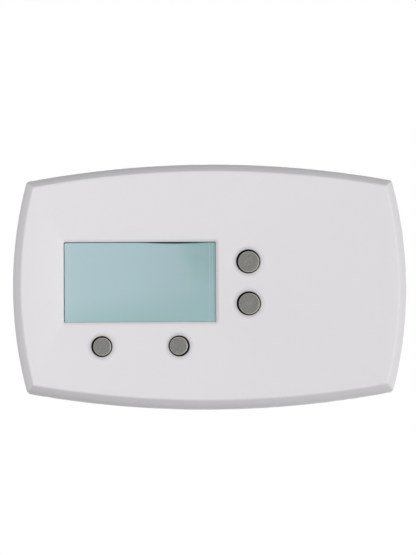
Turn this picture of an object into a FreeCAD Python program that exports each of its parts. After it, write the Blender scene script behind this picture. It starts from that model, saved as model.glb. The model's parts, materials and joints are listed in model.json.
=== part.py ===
"""Wall thermostat: a display and button module that snaps on to a screwed wall plate.

Frame: millimetres, +Z up, +X to the right as seen from the room, the room in front at -Y.
The wall's surface is the plane Y = 0, and the origin is the middle of the wall plate's back face.
Sizes along Y are written as depths, counted from the wall towards the room, so Y = -depth.
"""

import math
import os

import FreeCAD, Part

Vector = FreeCAD.Vector

# Body outline: a barrel-sided rectangle made of four long arcs
HALF_WIDTH = 73.75
HALF_HEIGHT = 45.9
TOP_RADIUS = 377.4
SIDE_RADIUS = 151.4
CORNER_RADIUS = 1.6
MIN_CORNER_RADIUS = 0.7

# Depths from the wall, back to front
PLATE_DEPTH = 2.6
BLOCK_DEPTH = 9.4
SKIRT_DEPTH = 3.2
PANEL_BACK = 10.2
PANEL_FRONT = 12.0
PARTING_DEPTH = 14.0
LIP_DEPTH = 16.4
BOARD_BACK = 23.6
BOARD_FRONT = 25.2
BEVEL_DEPTH = 29.5
CEILING_DEPTH = 33.4
FACE_DEPTH = 36.0

# Front cover
COVER_WALL = 2.4
COVER_DRAFT = 0.3
FACE_INSET = 3.7
CEILING_INSET = 5.2
INNER_BEVEL_DEPTH = 28.3
BEVEL_ROUND = 4.0
FACE_ROUND = 1.0
DISH_DROP = 1.3
DISH_OVERRUN = 0.05
DISH_HALF_WIDTH = 67.0
DISH_HALF_HEIGHT = 36.7

# Display window and what is behind it
WINDOW_X = -26.05
WINDOW_Z = 1.45
WINDOW_WIDTH = 56.5
WINDOW_HEIGHT = 29.8
WINDOW_CORNER = 0.5
WINDOW_CHAMFER = 0.9
LENS_PAD_DEPTH = 33.7
LENS_BACK = 32.2
LENS_WIDTH = 62.6
LENS_HEIGHT = 35.6
LENS_GAP = 0.2
STAKE_X = 29.9
STAKE_Z = 16.4
STAKE_RADIUS = 0.7
FRAME_FRONT = 31.8
FRAME_WIDTH = 68.0
FRAME_HEIGHT = 37.6
GLASS_WIDTH = 60.6
GLASS_HEIGHT = 34.4
POLARISER_WIDTH = 58.0
POLARISER_HEIGHT = 30.8
CLIP_X = 24.0
CLIP_HALF_WIDTH = 2.0
CLIP_HALF_HEIGHT = 0.5
CLIP_GAP = 0.1
CLIP_ROW = FRAME_HEIGHT / 2 - 0.6

# Depths of the display's layers, front to back
POLARISER_FRONT = 30.8
GLASS_FRONT = 30.6
GLASS_MIDDLE = 29.5
GLASS_BACK = 28.4
GUIDE_FRONT = 28.2
GUIDE_BACK = 26.4
REFLECTOR_BACK = 26.2
GUIDE_WIDTH = 57.6
GUIDE_HEIGHT = 29.6
CONTACT_LEDGE = 3.0
LED_WIDTH = 1.2
LED_ROWS = (-6.0, 9.4)

# Push buttons: centre, cap radius, and how far each cap sits off its hole's centre
BUTTONS = {
    "up": (14.2, 8.9, 3.95, (0.20, -0.17)),
    "down": (14.35, -6.7, 3.95, (0.20, -0.13)),
    "left": (-40.25, -22.5, 3.38, (0.17, -0.07)),
    "right": (-11.55, -22.4, 3.38, (-0.17, 0.03)),
}
BUTTON_GAP = 0.6
BUTTON_PROUD = 0.55
BUTTON_ROUND = 0.3
FLANGE_LEDGE = 1.05
FLANGE_BACK = 32.2
FLANGE_FRONT = 33.2
HOLE_CHAMFER = 0.35
WEB_DEPTH = 26.2
DOME_TOP = 29.0
SEAT_TOP = 30.0
PILL_BACK = 26.1
PILL_FRONT = 26.4
DOME_BASE_RADIUS = 4.2
DOME_TOP_RADIUS = 2.6
DOME_WALL = 0.45
FOOT_RADIUS = 2.4
STEM_RADIUS = 1.7
PILL_RADIUS = 1.5
PAD_RADIUS = 2.2
PAD_THICKNESS = 0.035
WEB_CORNER = 2.0
SIDE_WEB = (9.6, 18.9, -12.8, 15.2)
LOWER_WEB = (-47.0, -4.8, -27.1, -17.9)

# Fasteners between the two halves, and for the board
CASE_SCREW_X = 61.0
CASE_SCREW_Z = 34.0
BOSS_RADIUS = 3.0
PILOT_RADIUS = 1.05
BOARD_POSTS = ((-64.0, 22.0), (-64.0, -22.0), (62.0, 22.0), (62.0, -22.0))
POST_RADIUS = 2.4
POST_PILOT_RADIUS = 0.85
POST_PILOT_DEPTH = 6.0
BOSS_PILOT_DEPTH = 12.0
MOULDED_IN = 0.2

# Wall plate
PLATE_INSET = 1.2
WIRE_HALF_WIDTH = 12.0
WIRE_HALF_HEIGHT = 15.0
WIRE_CORNER = 4.0
SLOT_SPACING = 83.3
SLOT_LENGTH = 8.0
SLOT_RADIUS = 2.3
SLOT_PAD_DEPTH = 1.6
HOOK_X = 30.0
HOOK_HALF_WIDTH = 4.0
HOOK_INNER_Z = 40.0
HOOK_OUTER_Z = 41.5
NIB_OUTER_Z = 43.2
NIB_BACK = 5.4
HOOK_FRONT = 7.1
POCKET_DEPTH = 0.9

# Rear housing
REAR_INSET = 0.6
REAR_WALL = 2.0
RECESS_HALF_WIDTH = 13.0
RECESS_HALF_HEIGHT = 17.0
RECESS_FRONT = 16.0
RECESS_WALL = 1.5
VENT_PITCH = 4.6
VENT_HALF_WIDTH = 0.9

# Terminals: five on each side of the wire opening
TERMINAL_ROWS = (-16.0, -8.0, 0.0, 8.0, 16.0)
BLOCK_INNER_X = 15.0
BLOCK_OUTER_X = 29.0
SCREW_X = 25.2
PIN_X = 19.6
PIN_OFFSET_Z = 3.0
PIN_HALF_WIDTH = 0.32
PIN_HALF_HEIGHT = 0.5
PIN_BACK = 4.6
PIN_PROUD = 0.6
PIN_RELIEF = 0.3
JUMPED_ROWS = (8.0, 16.0)
BLOCK_HALF_HEIGHT = 20.5
WELL_RADIUS = 2.5
CHAMBER_X = (21.8, 28.2)
CHAMBER_DEPTHS = (3.6, 6.6)
CHAMBER_HALF_HEIGHT = 2.9
ENTRY_DEPTHS = (3.9, 6.3)
ENTRY_HALF_HEIGHT = 1.3
STRIP_DEPTHS = (2.95, 3.65)
LEAVES = ((18.85, 19.2), (20.0, 20.35))
LEAF_FRONT = 8.6
CLAMP_X = (22.3, 27.8)
CLAMP_DEPTHS = (5.5, 6.3)
LINK_DEPTHS = (6.42, 7.0)
TERMINAL_HEAD_RADIUS = 2.2
TERMINAL_SHANK_RADIUS = 1.25

# Batteries: two AA cells standing side by side
CELL_RADIUS = 7.0
CELL_LENGTH = 49.2
CELL_NUB_RADIUS = 2.75
CELL_NUB_HEIGHT = 1.0
CELL_DEPTH = 12.1
CELLS = {"left": (42.7, 1), "right": (58.3, -1)}
BAY_HALF_HEIGHT = 29.4
BAY_LEFT = 34.0
BAY_RIGHT = 67.0
BAY_WALL = 1.4
BAY_BACK = 4.0
BAY_FRONT = 20.9
TROUGH_RADIUS = 7.45

# The board: how far it stays inside the outline, and the corners cut away for the case screws
BOARD_INSET = 4.0
BOARD_CORNER_X = 56.5
BOARD_CORNER_Z = 30.5

# Parts on the back of the board
CHIP_CENTRE = (10.0, 27.6)
RELAY_COLUMNS = (-54.0, -41.0)
RELAY_ROWS = (-8.3, 8.3)
RELAY_BACK = 13.4
RELAY_HALF_WIDTH = 5.0
RELAY_HALF_HEIGHT = 7.5
CHIP_HALF = 6.0
LEG_REACH = 7.2
LEG_HALF_WIDTH = 0.15
LEG_PITCH = 0.8
LEGS_PER_SIDE = 12
CAPACITOR_COLUMNS = (-22.0, -31.0)
CAPACITOR_ROW = 29.5
SENSOR_X = -8.0
SENSOR_TIP = -41.6


# ---------------------------------------------------------------- small helpers


def at(x, z, depth):
    return Vector(x, -depth, z)


def block(x0, x1, z0, z1, d0, d1):
    """A box between two X values, two heights and two depths."""
    return Part.makeBox(x1 - x0, d1 - d0, z1 - z0, Vector(x0, -d1, z0))


def rod(x, z, radius, d0, d1):
    """A round bar that runs from depth d0 to the greater depth d1."""
    return Part.makeCylinder(radius, d1 - d0, at(x, z, d0), Vector(0, -1, 0))


def cone(x, z, r0, r1, d0, d1):
    """A round taper of radius r0 at depth d0 and r1 at depth d1."""
    return Part.makeCone(r0, r1, d1 - d0, at(x, z, d0), Vector(0, -1, 0))


def mirrored(side, x0, x1):
    """Two X values, moved to the left if side is -1, and put in order."""
    return sorted((side * x0, side * x1))


def joined(shapes):
    first, rest = shapes[0], shapes[1:]
    return first.fuse(rest).removeSplitter() if rest else first


def rectangle(x, z, width, height, corner, depth):
    """A closed wire: a rectangle with round corners, centred on x, z."""
    hw, hh = width / 2, height / 2
    diagonal = corner * (1 - math.sqrt(0.5))
    edges = []
    for turn in range(4):
        sx, sz = ((1, 1), (1, -1), (-1, -1), (-1, 1))[turn]
        before = (x + sx * (hw - corner), z + sz * hh)
        after = (x + sx * hw, z + sz * (hh - corner))
        middle = (x + sx * (hw - diagonal), z + sz * (hh - diagonal))
        if turn % 2:
            before, after = after, before
        edges.append((before, middle, after))
    shapes = []
    for turn, (before, middle, after) in enumerate(edges):
        following = edges[(turn + 1) % 4][0]
        shapes.append(Part.Arc(at(*before, depth), at(*middle, depth), at(*after, depth)).toShape())
        shapes.append(Part.makeLine(at(*after, depth), at(*following, depth)))
    return Part.Wire(shapes)


def slab(x, z, width, height, corner, d0, d1):
    """A round-cornered rectangular plate between two depths."""
    face = Part.Face(rectangle(x, z, width, height, corner, d0))
    return face.extrude(Vector(0, d0 - d1, 0))


def oblong(x, z, length, radius, d0, d1):
    """A slot-shaped plate that runs along X, with round ends."""
    reach = length / 2 - radius
    ends = [rod(x - reach, z, radius, d0, d1), rod(x + reach, z, radius, d0, d1)]
    return joined([block(x - reach, x + reach, z - radius, z + radius, d0, d1)] + ends)


# ---------------------------------------------------------------- the body outline


def corner_of_outline(inset, corner):
    """The centre of the round corner, and where it meets the top arc and the side arc."""
    top = (0.0, HALF_HEIGHT - TOP_RADIUS)
    side = (HALF_WIDTH - SIDE_RADIUS, 0.0)
    r_top = TOP_RADIUS - inset - corner
    r_side = SIDE_RADIUS - inset - corner
    span = math.hypot(side[0] - top[0], side[1] - top[1])
    along = (r_top**2 - r_side**2 + span**2) / (2 * span)
    across = math.sqrt(r_top**2 - along**2)
    ux, uz = (side[0] - top[0]) / span, (side[1] - top[1]) / span
    centre = (top[0] + along * ux - across * uz, top[1] + along * uz + across * ux)
    if centre[0] < 0:
        centre = (top[0] + along * ux + across * uz, top[1] + along * uz - across * ux)
    directions = []
    for origin, radius in ((top, r_top), (side, r_side)):
        directions.append(((centre[0] - origin[0]) / radius, (centre[1] - origin[1]) / radius))
    bisector = (directions[0][0] + directions[1][0], directions[0][1] + directions[1][1])
    length = math.hypot(*bisector)
    directions.insert(1, (bisector[0] / length, bisector[1] / length))
    return [(centre[0] + corner * dx, centre[1] + corner * dz) for dx, dz in directions]


def outline(inset, depth):
    """The body's outline moved inwards by inset, as one closed wire of eight arcs."""
    corner = max(CORNER_RADIUS - inset, MIN_CORNER_RADIUS)
    (tx, tz), (mx, mz), (sx, sz) = corner_of_outline(inset, corner)
    high, wide = HALF_HEIGHT - inset, HALF_WIDTH - inset
    arcs = [
        ((-tx, tz), (0, high), (tx, tz)),
        ((tx, tz), (mx, mz), (sx, sz)),
        ((sx, sz), (wide, 0), (sx, -sz)),
        ((sx, -sz), (mx, -mz), (tx, -tz)),
        ((tx, -tz), (0, -high), (-tx, -tz)),
        ((-tx, -tz), (-mx, -mz), (-sx, -sz)),
        ((-sx, -sz), (-wide, 0), (-sx, sz)),
        ((-sx, sz), (-mx, mz), (-tx, tz)),
    ]
    return Part.Wire([Part.Arc(*(at(*point, depth) for point in arc)).toShape() for arc in arcs])


def body_plate(inset, d0, d1):
    """The whole outline as a solid plate between two depths."""
    return Part.Face(outline(inset, d0)).extrude(Vector(0, d0 - d1, 0))


def body_taper(inset0, d0, inset1, d1):
    """The whole outline as a solid whose sides slope from one inset to another."""
    return Part.makeLoft([outline(inset0, d0), outline(inset1, d1)], True, True)


def body_band(outer_inset, inner_inset, d0, d1):
    """A wall that follows the outline."""
    return body_plate(outer_inset, d0, d1).cut(body_plate(inner_inset, d0 - 1, d1 + 1))


def edges_at(shape, depth):
    """The edges that lie in one plane parallel to the wall."""
    found = []
    for edge in shape.Edges:
        box = edge.BoundBox
        if abs(box.YMin + depth) < 1e-4 and abs(box.YMax + depth) < 1e-4:
            found.append(edge)
    return found


# ---------------------------------------------------------------- front cover


def panel_limits():
    """The dished face's inner rectangle at the window and its outer rectangle, as (x, z) corners."""
    hw = WINDOW_WIDTH / 2 + WINDOW_CHAMFER
    hh = WINDOW_HEIGHT / 2 + WINDOW_CHAMFER
    signs = ((1, 1), (1, -1), (-1, -1), (-1, 1))
    inner = [(WINDOW_X + sx * hw, WINDOW_Z + sz * hh) for sx, sz in signs]
    outer = [(sx * DISH_HALF_WIDTH, sz * DISH_HALF_HEIGHT) for sx, sz in signs]
    return inner, outer


def face_depth(x, z):
    """The depth of the dished face at a point outside the window."""
    inner, outer = panel_limits()
    shares = (
        (x - inner[0][0]) / (outer[0][0] - inner[0][0]),
        (z - inner[0][1]) / (outer[0][1] - inner[0][1]),
        (x - inner[2][0]) / (outer[2][0] - inner[2][0]),
        (z - inner[2][1]) / (outer[2][1] - inner[2][1]),
    )
    share = min(max(*shares, 0.0), 1.0)
    return min(FACE_DEPTH + DISH_OVERRUN - (DISH_DROP + DISH_OVERRUN) * (1 - share) ** 2, FACE_DEPTH)


def dish_cutter():
    """What is in front of the dished face: four panels that flatten out towards the rim."""
    inner, outer = panel_limits()
    floor = FACE_DEPTH - DISH_DROP
    crest = FACE_DEPTH + DISH_OVERRUN
    lid = FACE_DEPTH + 5
    faces = [Part.Face(Part.makePolygon([at(*p, floor) for p in inner + inner[:1]]))]
    faces.append(Part.Face(Part.makePolygon([at(*p, lid) for p in outer + outer[:1]])))
    for turn in range(4):
        ends = (turn, (turn + 1) % 4)
        panel = Part.BezierSurface()
        panel.increase(1, 2)
        for row, end in enumerate(ends):
            (ix, iz), (ox, oz) = inner[end], outer[end]
            panel.setPole(row + 1, 1, at(ix, iz, floor))
            panel.setPole(row + 1, 2, at((ix + ox) / 2, (iz + oz) / 2, crest))
            panel.setPole(row + 1, 3, at(ox, oz, crest))
        faces.append(panel.toShape())
        (x0, z0), (x1, z1) = outer[ends[0]], outer[ends[1]]
        wall = [at(x0, z0, crest), at(x1, z1, crest), at(x1, z1, lid), at(x0, z0, lid)]
        faces.append(Part.Face(Part.makePolygon(wall + wall[:1])))
    shell = Part.makeShell(faces)
    shell.sewShape()
    solid = Part.makeSolid(shell)
    if solid.Volume < 0:
        solid.reverse()
    return solid


def window_cutter():
    """The window's opening with its chamfered edge."""
    floor = FACE_DEPTH - DISH_DROP
    wide, tall = WINDOW_WIDTH + 2 * WINDOW_CHAMFER, WINDOW_HEIGHT + 2 * WINDOW_CHAMFER
    front = rectangle(WINDOW_X, WINDOW_Z, wide, tall, WINDOW_CORNER + WINDOW_CHAMFER, floor + 0.001)
    back = rectangle(
        WINDOW_X, WINDOW_Z, WINDOW_WIDTH, WINDOW_HEIGHT, WINDOW_CORNER, floor - WINDOW_CHAMFER
    )
    chamfer = Part.makeLoft([back, front], True, True)
    opening = slab(
        WINDOW_X, WINDOW_Z, WINDOW_WIDTH, WINDOW_HEIGHT, WINDOW_CORNER, CEILING_DEPTH - 1, floor
    )
    return chamfer.fuse(opening)


def button_holes():
    cutters = []
    for x, z, radius, _ in BUTTONS.values():
        hole = radius + BUTTON_GAP
        surface = face_depth(x, z)
        cutters.append(rod(x, z, hole, CEILING_DEPTH - 1, surface + 1))
        cutters.append(
            cone(x, z, hole, hole + 2 * HOLE_CHAMFER, surface - HOLE_CHAMFER, surface + HOLE_CHAMFER)
        )
    return cutters


def front_cover():
    side = body_taper(0, PARTING_DEPTH, COVER_DRAFT, BEVEL_DEPTH)
    bevel = body_taper(COVER_DRAFT, BEVEL_DEPTH, FACE_INSET, FACE_DEPTH)
    body = side.fuse(bevel)
    body = body.makeFillet(BEVEL_ROUND, edges_at(body, BEVEL_DEPTH))
    body = body.makeFillet(FACE_ROUND, edges_at(body, FACE_DEPTH))
    body = body.cut(body_plate(COVER_WALL, PARTING_DEPTH - 1, INNER_BEVEL_DEPTH))
    body = body.cut(body_taper(COVER_WALL, INNER_BEVEL_DEPTH, CEILING_INSET, CEILING_DEPTH))
    posts, pilots = [], []
    for sx in (-1, 1):
        for sz in (-1, 1):
            x, z = sx * CASE_SCREW_X, sz * CASE_SCREW_Z
            posts.append(rod(x, z, BOSS_RADIUS, PANEL_FRONT + 0.1, CEILING_DEPTH + MOULDED_IN))
            pilots.append(rod(x, z, PILOT_RADIUS, PANEL_FRONT, PANEL_FRONT + BOSS_PILOT_DEPTH))
            posts.append(stake(sx, sz, CEILING_DEPTH + MOULDED_IN))
    for x, z in BOARD_POSTS:
        posts.append(rod(x, z, POST_RADIUS, BOARD_FRONT, CEILING_DEPTH + MOULDED_IN))
        pilots.append(rod(x, z, POST_PILOT_RADIUS, BOARD_FRONT - 1, BOARD_FRONT + POST_PILOT_DEPTH))
    body = body.fuse(posts).cut(pilots)
    return body.cut([dish_cutter(), window_cutter()] + button_holes())


def stake(sx, sz, front):
    """One of the four moulded stakes that locate the window."""
    return rod(WINDOW_X + sx * STAKE_X, WINDOW_Z + sz * STAKE_Z, STAKE_RADIUS, LENS_BACK - 0.6, front)


# ---------------------------------------------------------------- window and display


def display_window():
    pad = slab(
        WINDOW_X,
        WINDOW_Z,
        WINDOW_WIDTH - 2 * LENS_GAP,
        WINDOW_HEIGHT - 2 * LENS_GAP,
        WINDOW_CORNER,
        LENS_BACK,
        LENS_PAD_DEPTH,
    )
    flange = slab(WINDOW_X, WINDOW_Z, LENS_WIDTH, LENS_HEIGHT, 1.5, LENS_BACK, CEILING_DEPTH)
    holes = []
    for sx in (-1, 1):
        for sz in (-1, 1):
            x, z = WINDOW_X + sx * STAKE_X, WINDOW_Z + sz * STAKE_Z
            holes.append(rod(x, z, STAKE_RADIUS + 0.1, LENS_BACK - 1, CEILING_DEPTH + 1))
    return pad.fuse(flange).removeSplitter().cut(holes)


def display_slab(width, height, d0, d1, shift_z=0.0):
    return block(
        WINDOW_X - width / 2,
        WINDOW_X + width / 2,
        WINDOW_Z + shift_z - height / 2,
        WINDOW_Z + shift_z + height / 2,
        d0,
        d1,
    )


def clip(sx, sz, d0, d1, extra=0.0):
    """One of the display frame's four clips, or its slot in the board with some extra room."""
    x, z = WINDOW_X + sx * CLIP_X, WINDOW_Z + sz * CLIP_ROW
    reach, rise = CLIP_HALF_WIDTH + extra, CLIP_HALF_HEIGHT + extra
    return block(x - reach, x + reach, z - rise, z + rise, d0, d1)


def display_frame():
    """The bracket that holds the display glass and its backlight on the board."""
    outer = slab(WINDOW_X, WINDOW_Z, FRAME_WIDTH, FRAME_HEIGHT, 1.5, BOARD_FRONT, FRAME_FRONT)
    sight = display_slab(POLARISER_WIDTH + 0.6, POLARISER_HEIGHT + 0.6, BOARD_FRONT - 1, FRAME_FRONT + 1)
    pocket = display_slab(GLASS_WIDTH + 0.8, GLASS_HEIGHT + 0.8, BOARD_FRONT - 1, GLASS_FRONT + 0.1)
    clips = []
    for sx in (-1, 1):
        for sz in (-1, 1):
            clips.append(clip(sx, sz, BOARD_BACK - 0.9, BOARD_FRONT))
    stakes = []
    for sx in (-1, 1):
        for sz in (-1, 1):
            x, z = WINDOW_X + sx * STAKE_X, WINDOW_Z + sz * STAKE_Z
            stakes.append(rod(x, z, STAKE_RADIUS + 0.4, LENS_BACK - 1, FRAME_FRONT + 1))
    pin_end = BOARD_FRONT + PIN_PROUD
    relief = pin(-1, TERMINAL_ROWS[-1], BOARD_FRONT - 1, pin_end + PIN_RELIEF, PIN_RELIEF)
    return outer.cut([sight, pocket, relief] + stakes).fuse(clips).removeSplitter()


def display_layers():
    """The flat layers of the display, front to back."""
    led_x = WINDOW_X - GLASS_WIDTH / 2
    leds = [block(led_x, led_x + LED_WIDTH, z - 1.5, z + 1.5, BOARD_FRONT, 27.2) for z in LED_ROWS]
    glass_low = WINDOW_Z - GLASS_HEIGHT / 2
    lift = CONTACT_LEDGE / 2
    strip_low, strip_high = glass_low + 0.3, glass_low + 1.6
    strip = block(WINDOW_X - 27, WINDOW_X + 27, strip_low, strip_high, BOARD_FRONT, GLASS_MIDDLE)
    rear = (GLASS_WIDTH, GLASS_HEIGHT - CONTACT_LEDGE, GLASS_BACK, GLASS_MIDDLE, lift)
    return {
        "display_front_polariser": display_slab(
            POLARISER_WIDTH, POLARISER_HEIGHT, GLASS_FRONT, POLARISER_FRONT
        ),
        "display_front_glass": display_slab(GLASS_WIDTH, GLASS_HEIGHT, GLASS_MIDDLE, GLASS_FRONT),
        "display_rear_glass": display_slab(*rear),
        "display_rear_polariser": display_slab(
            POLARISER_WIDTH, GUIDE_HEIGHT, GUIDE_FRONT, GLASS_BACK, lift
        ),
        "backlight_guide": display_slab(GUIDE_WIDTH, GUIDE_HEIGHT, GUIDE_BACK, GUIDE_FRONT, lift),
        "backlight_reflector": display_slab(
            GUIDE_WIDTH, GUIDE_HEIGHT, REFLECTOR_BACK, GUIDE_BACK, lift
        ),
        "backlight_leds": Part.makeCompound(leds),
        "display_contact_strip": strip,
    }


# ---------------------------------------------------------------- buttons and keypad


def button_cap(name):
    """A cap that slides in its hole, with a flange that keeps it in and a foot on its plunger."""
    x, z, radius, (dx, dz) = BUTTONS[name]
    front = face_depth(x, z) + BUTTON_PROUD
    cap = rod(x + dx, z + dz, radius, FLANGE_BACK, front)
    cap = cap.makeFillet(BUTTON_ROUND, edges_at(cap, front))
    flange = rod(x, z, radius + FLANGE_LEDGE, FLANGE_BACK, FLANGE_FRONT)
    foot = rod(x, z, FOOT_RADIUS, SEAT_TOP, FLANGE_BACK)
    return joined([cap, flange, foot])


def button_plunger(name):
    """The part of the keypad above the dome, which carries the contact pill."""
    x, z, _, _ = BUTTONS[name]
    seat = rod(x, z, DOME_TOP_RADIUS, DOME_TOP, SEAT_TOP)
    stem = rod(x, z, STEM_RADIUS, PILL_FRONT, DOME_TOP)
    return joined([seat, stem])


def contact_pill(name):
    x, z, _, _ = BUTTONS[name]
    return rod(x, z, PILL_RADIUS, PILL_BACK, PILL_FRONT)


def dome_spring(name):
    """The thin conical skirt that snaps when its button is pressed."""
    x, z, _, _ = BUTTONS[name]
    skin = cone(x, z, DOME_BASE_RADIUS, DOME_TOP_RADIUS, WEB_DEPTH, DOME_TOP)
    return skin.cut(
        cone(x, z, DOME_BASE_RADIUS - DOME_WALL, DOME_TOP_RADIUS - DOME_WALL, WEB_DEPTH, DOME_TOP)
    )


def keypad_web(names, x0, x1, z0, z1):
    """A flat sheet of the keypad with a hole under each dome."""
    x, z = (x0 + x1) / 2, (z0 + z1) / 2
    sheet = slab(x, z, x1 - x0, z1 - z0, WEB_CORNER, BOARD_FRONT, WEB_DEPTH)
    holes = []
    for name in names:
        x, z, _, _ = BUTTONS[name]
        holes.append(rod(x, z, DOME_BASE_RADIUS - DOME_WALL, BOARD_FRONT - 1, WEB_DEPTH + 1))
    return sheet.cut(holes)


# ---------------------------------------------------------------- circuit board


def main_board():
    board = body_plate(BOARD_INSET, BOARD_BACK, BOARD_FRONT)
    cuts = []
    for sx in (-1, 1):
        for sz in (-1, 1):
            x0, x1 = mirrored(sx, BOARD_CORNER_X, 80.0)
            z0, z1 = mirrored(sz, BOARD_CORNER_Z, 60.0)
            cuts.append(block(x0, x1, z0, z1, BOARD_BACK - 1, BOARD_FRONT + 1))
            cuts.append(clip(sx, sz, BOARD_BACK - 1, BOARD_FRONT + 1, CLIP_GAP))
        for row in TERMINAL_ROWS:
            x0, x1 = mirrored(sx, PIN_X - 0.45, PIN_X + 0.45)
            z = row + PIN_OFFSET_Z
            cuts.append(block(x0, x1, z - 0.7, z + 0.7, BOARD_BACK - 1, BOARD_FRONT + 1))
    for x, z in BOARD_POSTS:
        cuts.append(rod(x, z, 1.3, BOARD_BACK - 1, BOARD_FRONT + 1))
    return board.cut(cuts)


def contact_pads():
    """Gold pads under the buttons, let into the board's face as thin discs beside each other."""
    pads = []
    for x, z, _, _ in BUTTONS.values():
        disc = rod(x, z, PAD_RADIUS, BOARD_FRONT, BOARD_FRONT + PAD_THICKNESS)
        split = block(x - 0.2, x + 0.2, z - 3, z + 3, BOARD_FRONT - 1, BOARD_FRONT + 1)
        pads.append(disc.cut(split))
    return Part.makeCompound([solid for pad in pads for solid in pad.Solids])


def relays():
    """Four sealed relays in two rows on the back of the board."""
    cases = []
    for x in RELAY_COLUMNS:
        for z in RELAY_ROWS:
            low, high = z - RELAY_HALF_HEIGHT, z + RELAY_HALF_HEIGHT
            case = block(x - RELAY_HALF_WIDTH, x + RELAY_HALF_WIDTH, low, high, RELAY_BACK, BOARD_BACK)
            cases.append(case.makeFillet(0.4, case.Edges))
    return Part.makeCompound(cases)


def controller_chip():
    x, z = CHIP_CENTRE
    sides = (x - CHIP_HALF, x + CHIP_HALF, z - CHIP_HALF, z + CHIP_HALF)
    chip = block(*sides, BOARD_BACK - 1.5, BOARD_BACK - 0.1)
    across = (LEG_REACH, LEG_HALF_WIDTH)
    legs = []
    for step in range(LEGS_PER_SIDE):
        along = LEG_PITCH * (step - (LEGS_PER_SIDE - 1) / 2)
        for half_x, half_z, dx, dz in ((*across, 0.0, along), (*across[::-1], along, 0.0)):
            row = (x + dx - half_x, x + dx + half_x, z + dz - half_z, z + dz + half_z)
            legs.append(block(*row, BOARD_BACK - 0.6, BOARD_BACK))
    return joined([chip] + legs)


def capacitors():
    """Two upright electrolytic capacitors."""
    cans = []
    z = CAPACITOR_ROW
    for x in CAPACITOR_COLUMNS:
        can = rod(x, z, 3.15, BOARD_BACK - 7.0, BOARD_BACK - 0.5)
        can = can.makeFillet(0.5, edges_at(can, BOARD_BACK - 7.0))
        base = block(x - 3.3, x + 3.3, z - 3.3, z + 3.3, BOARD_BACK - 0.5, BOARD_BACK)
        cans.append(joined([can, base]))
    return Part.makeCompound(cans)


def crystal():
    can = slab(25.6, 29.0, 10.5, 4.2, 2.0, BOARD_BACK - 3.4, BOARD_BACK)
    return can.makeFillet(0.5, edges_at(can, BOARD_BACK - 3.4))


def chip_parts():
    """Small surface-mounted parts on the back of the board, in rows."""
    parts = []
    for column in range(6):
        for row in range(3):
            x, z = -53.0 + 4.2 * column, -33.5 + 2.6 * row
            parts.append(block(x - 1.0, x + 1.0, z - 0.6, z + 0.6, BOARD_BACK - 0.6, BOARD_BACK))
    for column in range(7):
        x = -9.0 + 3.0 * column
        parts.append(block(x - 0.8, x + 0.8, -29.6, -28.4, BOARD_BACK - 0.6, BOARD_BACK))
    return Part.makeCompound(parts)


def temperature_sensor():
    """A bead thermistor on two leads that holds it clear of the board's lower edge."""
    axis = BOARD_BACK - 1.6
    bead = Part.makeCylinder(1.1, 2.6, at(SENSOR_X, SENSOR_TIP, axis), Vector(0, 0, 1))
    bead = bead.makeFillet(0.7, [edge for edge in bead.Edges if edge.BoundBox.ZLength < 1e-6])
    leads = []
    for x in (SENSOR_X - 0.55, SENSOR_X + 0.55):
        leads.append(block(x - 0.2, x + 0.2, SENSOR_TIP + 2.2, -34.5, axis - 0.2, axis + 0.2))
        leads.append(block(x - 0.2, x + 0.2, -34.9, -34.5, axis - 0.2, BOARD_BACK))
    return joined([bead] + leads)


def screw(x, z, head_radius, shank_radius, head_back, head_height, length, drive):
    """A pan-head screw that points into the room, with a cross recess cut in its head."""
    shoulder = head_back + head_height
    head = rod(x, z, head_radius, head_back, shoulder)
    head = head.makeFillet(head_height * 0.45, edges_at(head, head_back))
    shank = rod(x, z, shank_radius, shoulder, shoulder + length)
    tip = cone(x, z, shank_radius, shank_radius * 0.4, shoulder + length, shoulder + length + 1.0)
    arm, depth = head_radius * 0.62, head_height * 0.55
    cross = [
        block(x - arm, x + arm, z - drive / 2, z + drive / 2, head_back - 1, head_back + depth),
        block(x - drive / 2, x + drive / 2, z - arm, z + arm, head_back - 1, head_back + depth),
    ]
    return joined([head, shank, tip]).cut(cross)


def board_screws():
    made = [screw(x, z, 2.1, 0.84, BOARD_BACK - 1.4, 1.4, 6.0, 0.5) for x, z in BOARD_POSTS]
    return Part.makeCompound(made)


def case_screws():
    made = []
    for sx in (-1, 1):
        for sz in (-1, 1):
            made.append(screw(sx * CASE_SCREW_X, sz * CASE_SCREW_Z, 2.4, 1.0, 8.6, 1.6, 10.0, 0.6))
    return Part.makeCompound(made)


def header(side):
    """The plastic base that carries one row of contact blades."""
    x0, x1 = mirrored(side, PIN_X - 1.3, PIN_X + 1.3)
    low, high = TERMINAL_ROWS[0] + PIN_OFFSET_Z - 1.6, TERMINAL_ROWS[-1] + PIN_OFFSET_Z + 1.6
    base = block(x0, x1, low, high, BOARD_BACK - 2.5, BOARD_BACK)
    holes = []
    for row in TERMINAL_ROWS:
        holes.append(pin(side, row, BOARD_BACK - 4, BOARD_BACK + 2, 0.01))
    return base.cut(holes)


def pin(side, row, d0, d1, extra=0.0):
    """One contact blade between two depths, or the room for it with some extra all round."""
    reach, rise = PIN_HALF_WIDTH + extra, PIN_HALF_HEIGHT + extra
    x0, x1 = mirrored(side, PIN_X - reach, PIN_X + reach)
    z = row + PIN_OFFSET_Z
    return block(x0, x1, z - rise, z + rise, d0, d1)


def header_pins():
    end = BOARD_FRONT + PIN_PROUD
    pins = [pin(side, row, PIN_BACK, end) for side in (-1, 1) for row in TERMINAL_ROWS]
    return Part.makeCompound(pins)


# ---------------------------------------------------------------- rear housing and batteries


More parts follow.
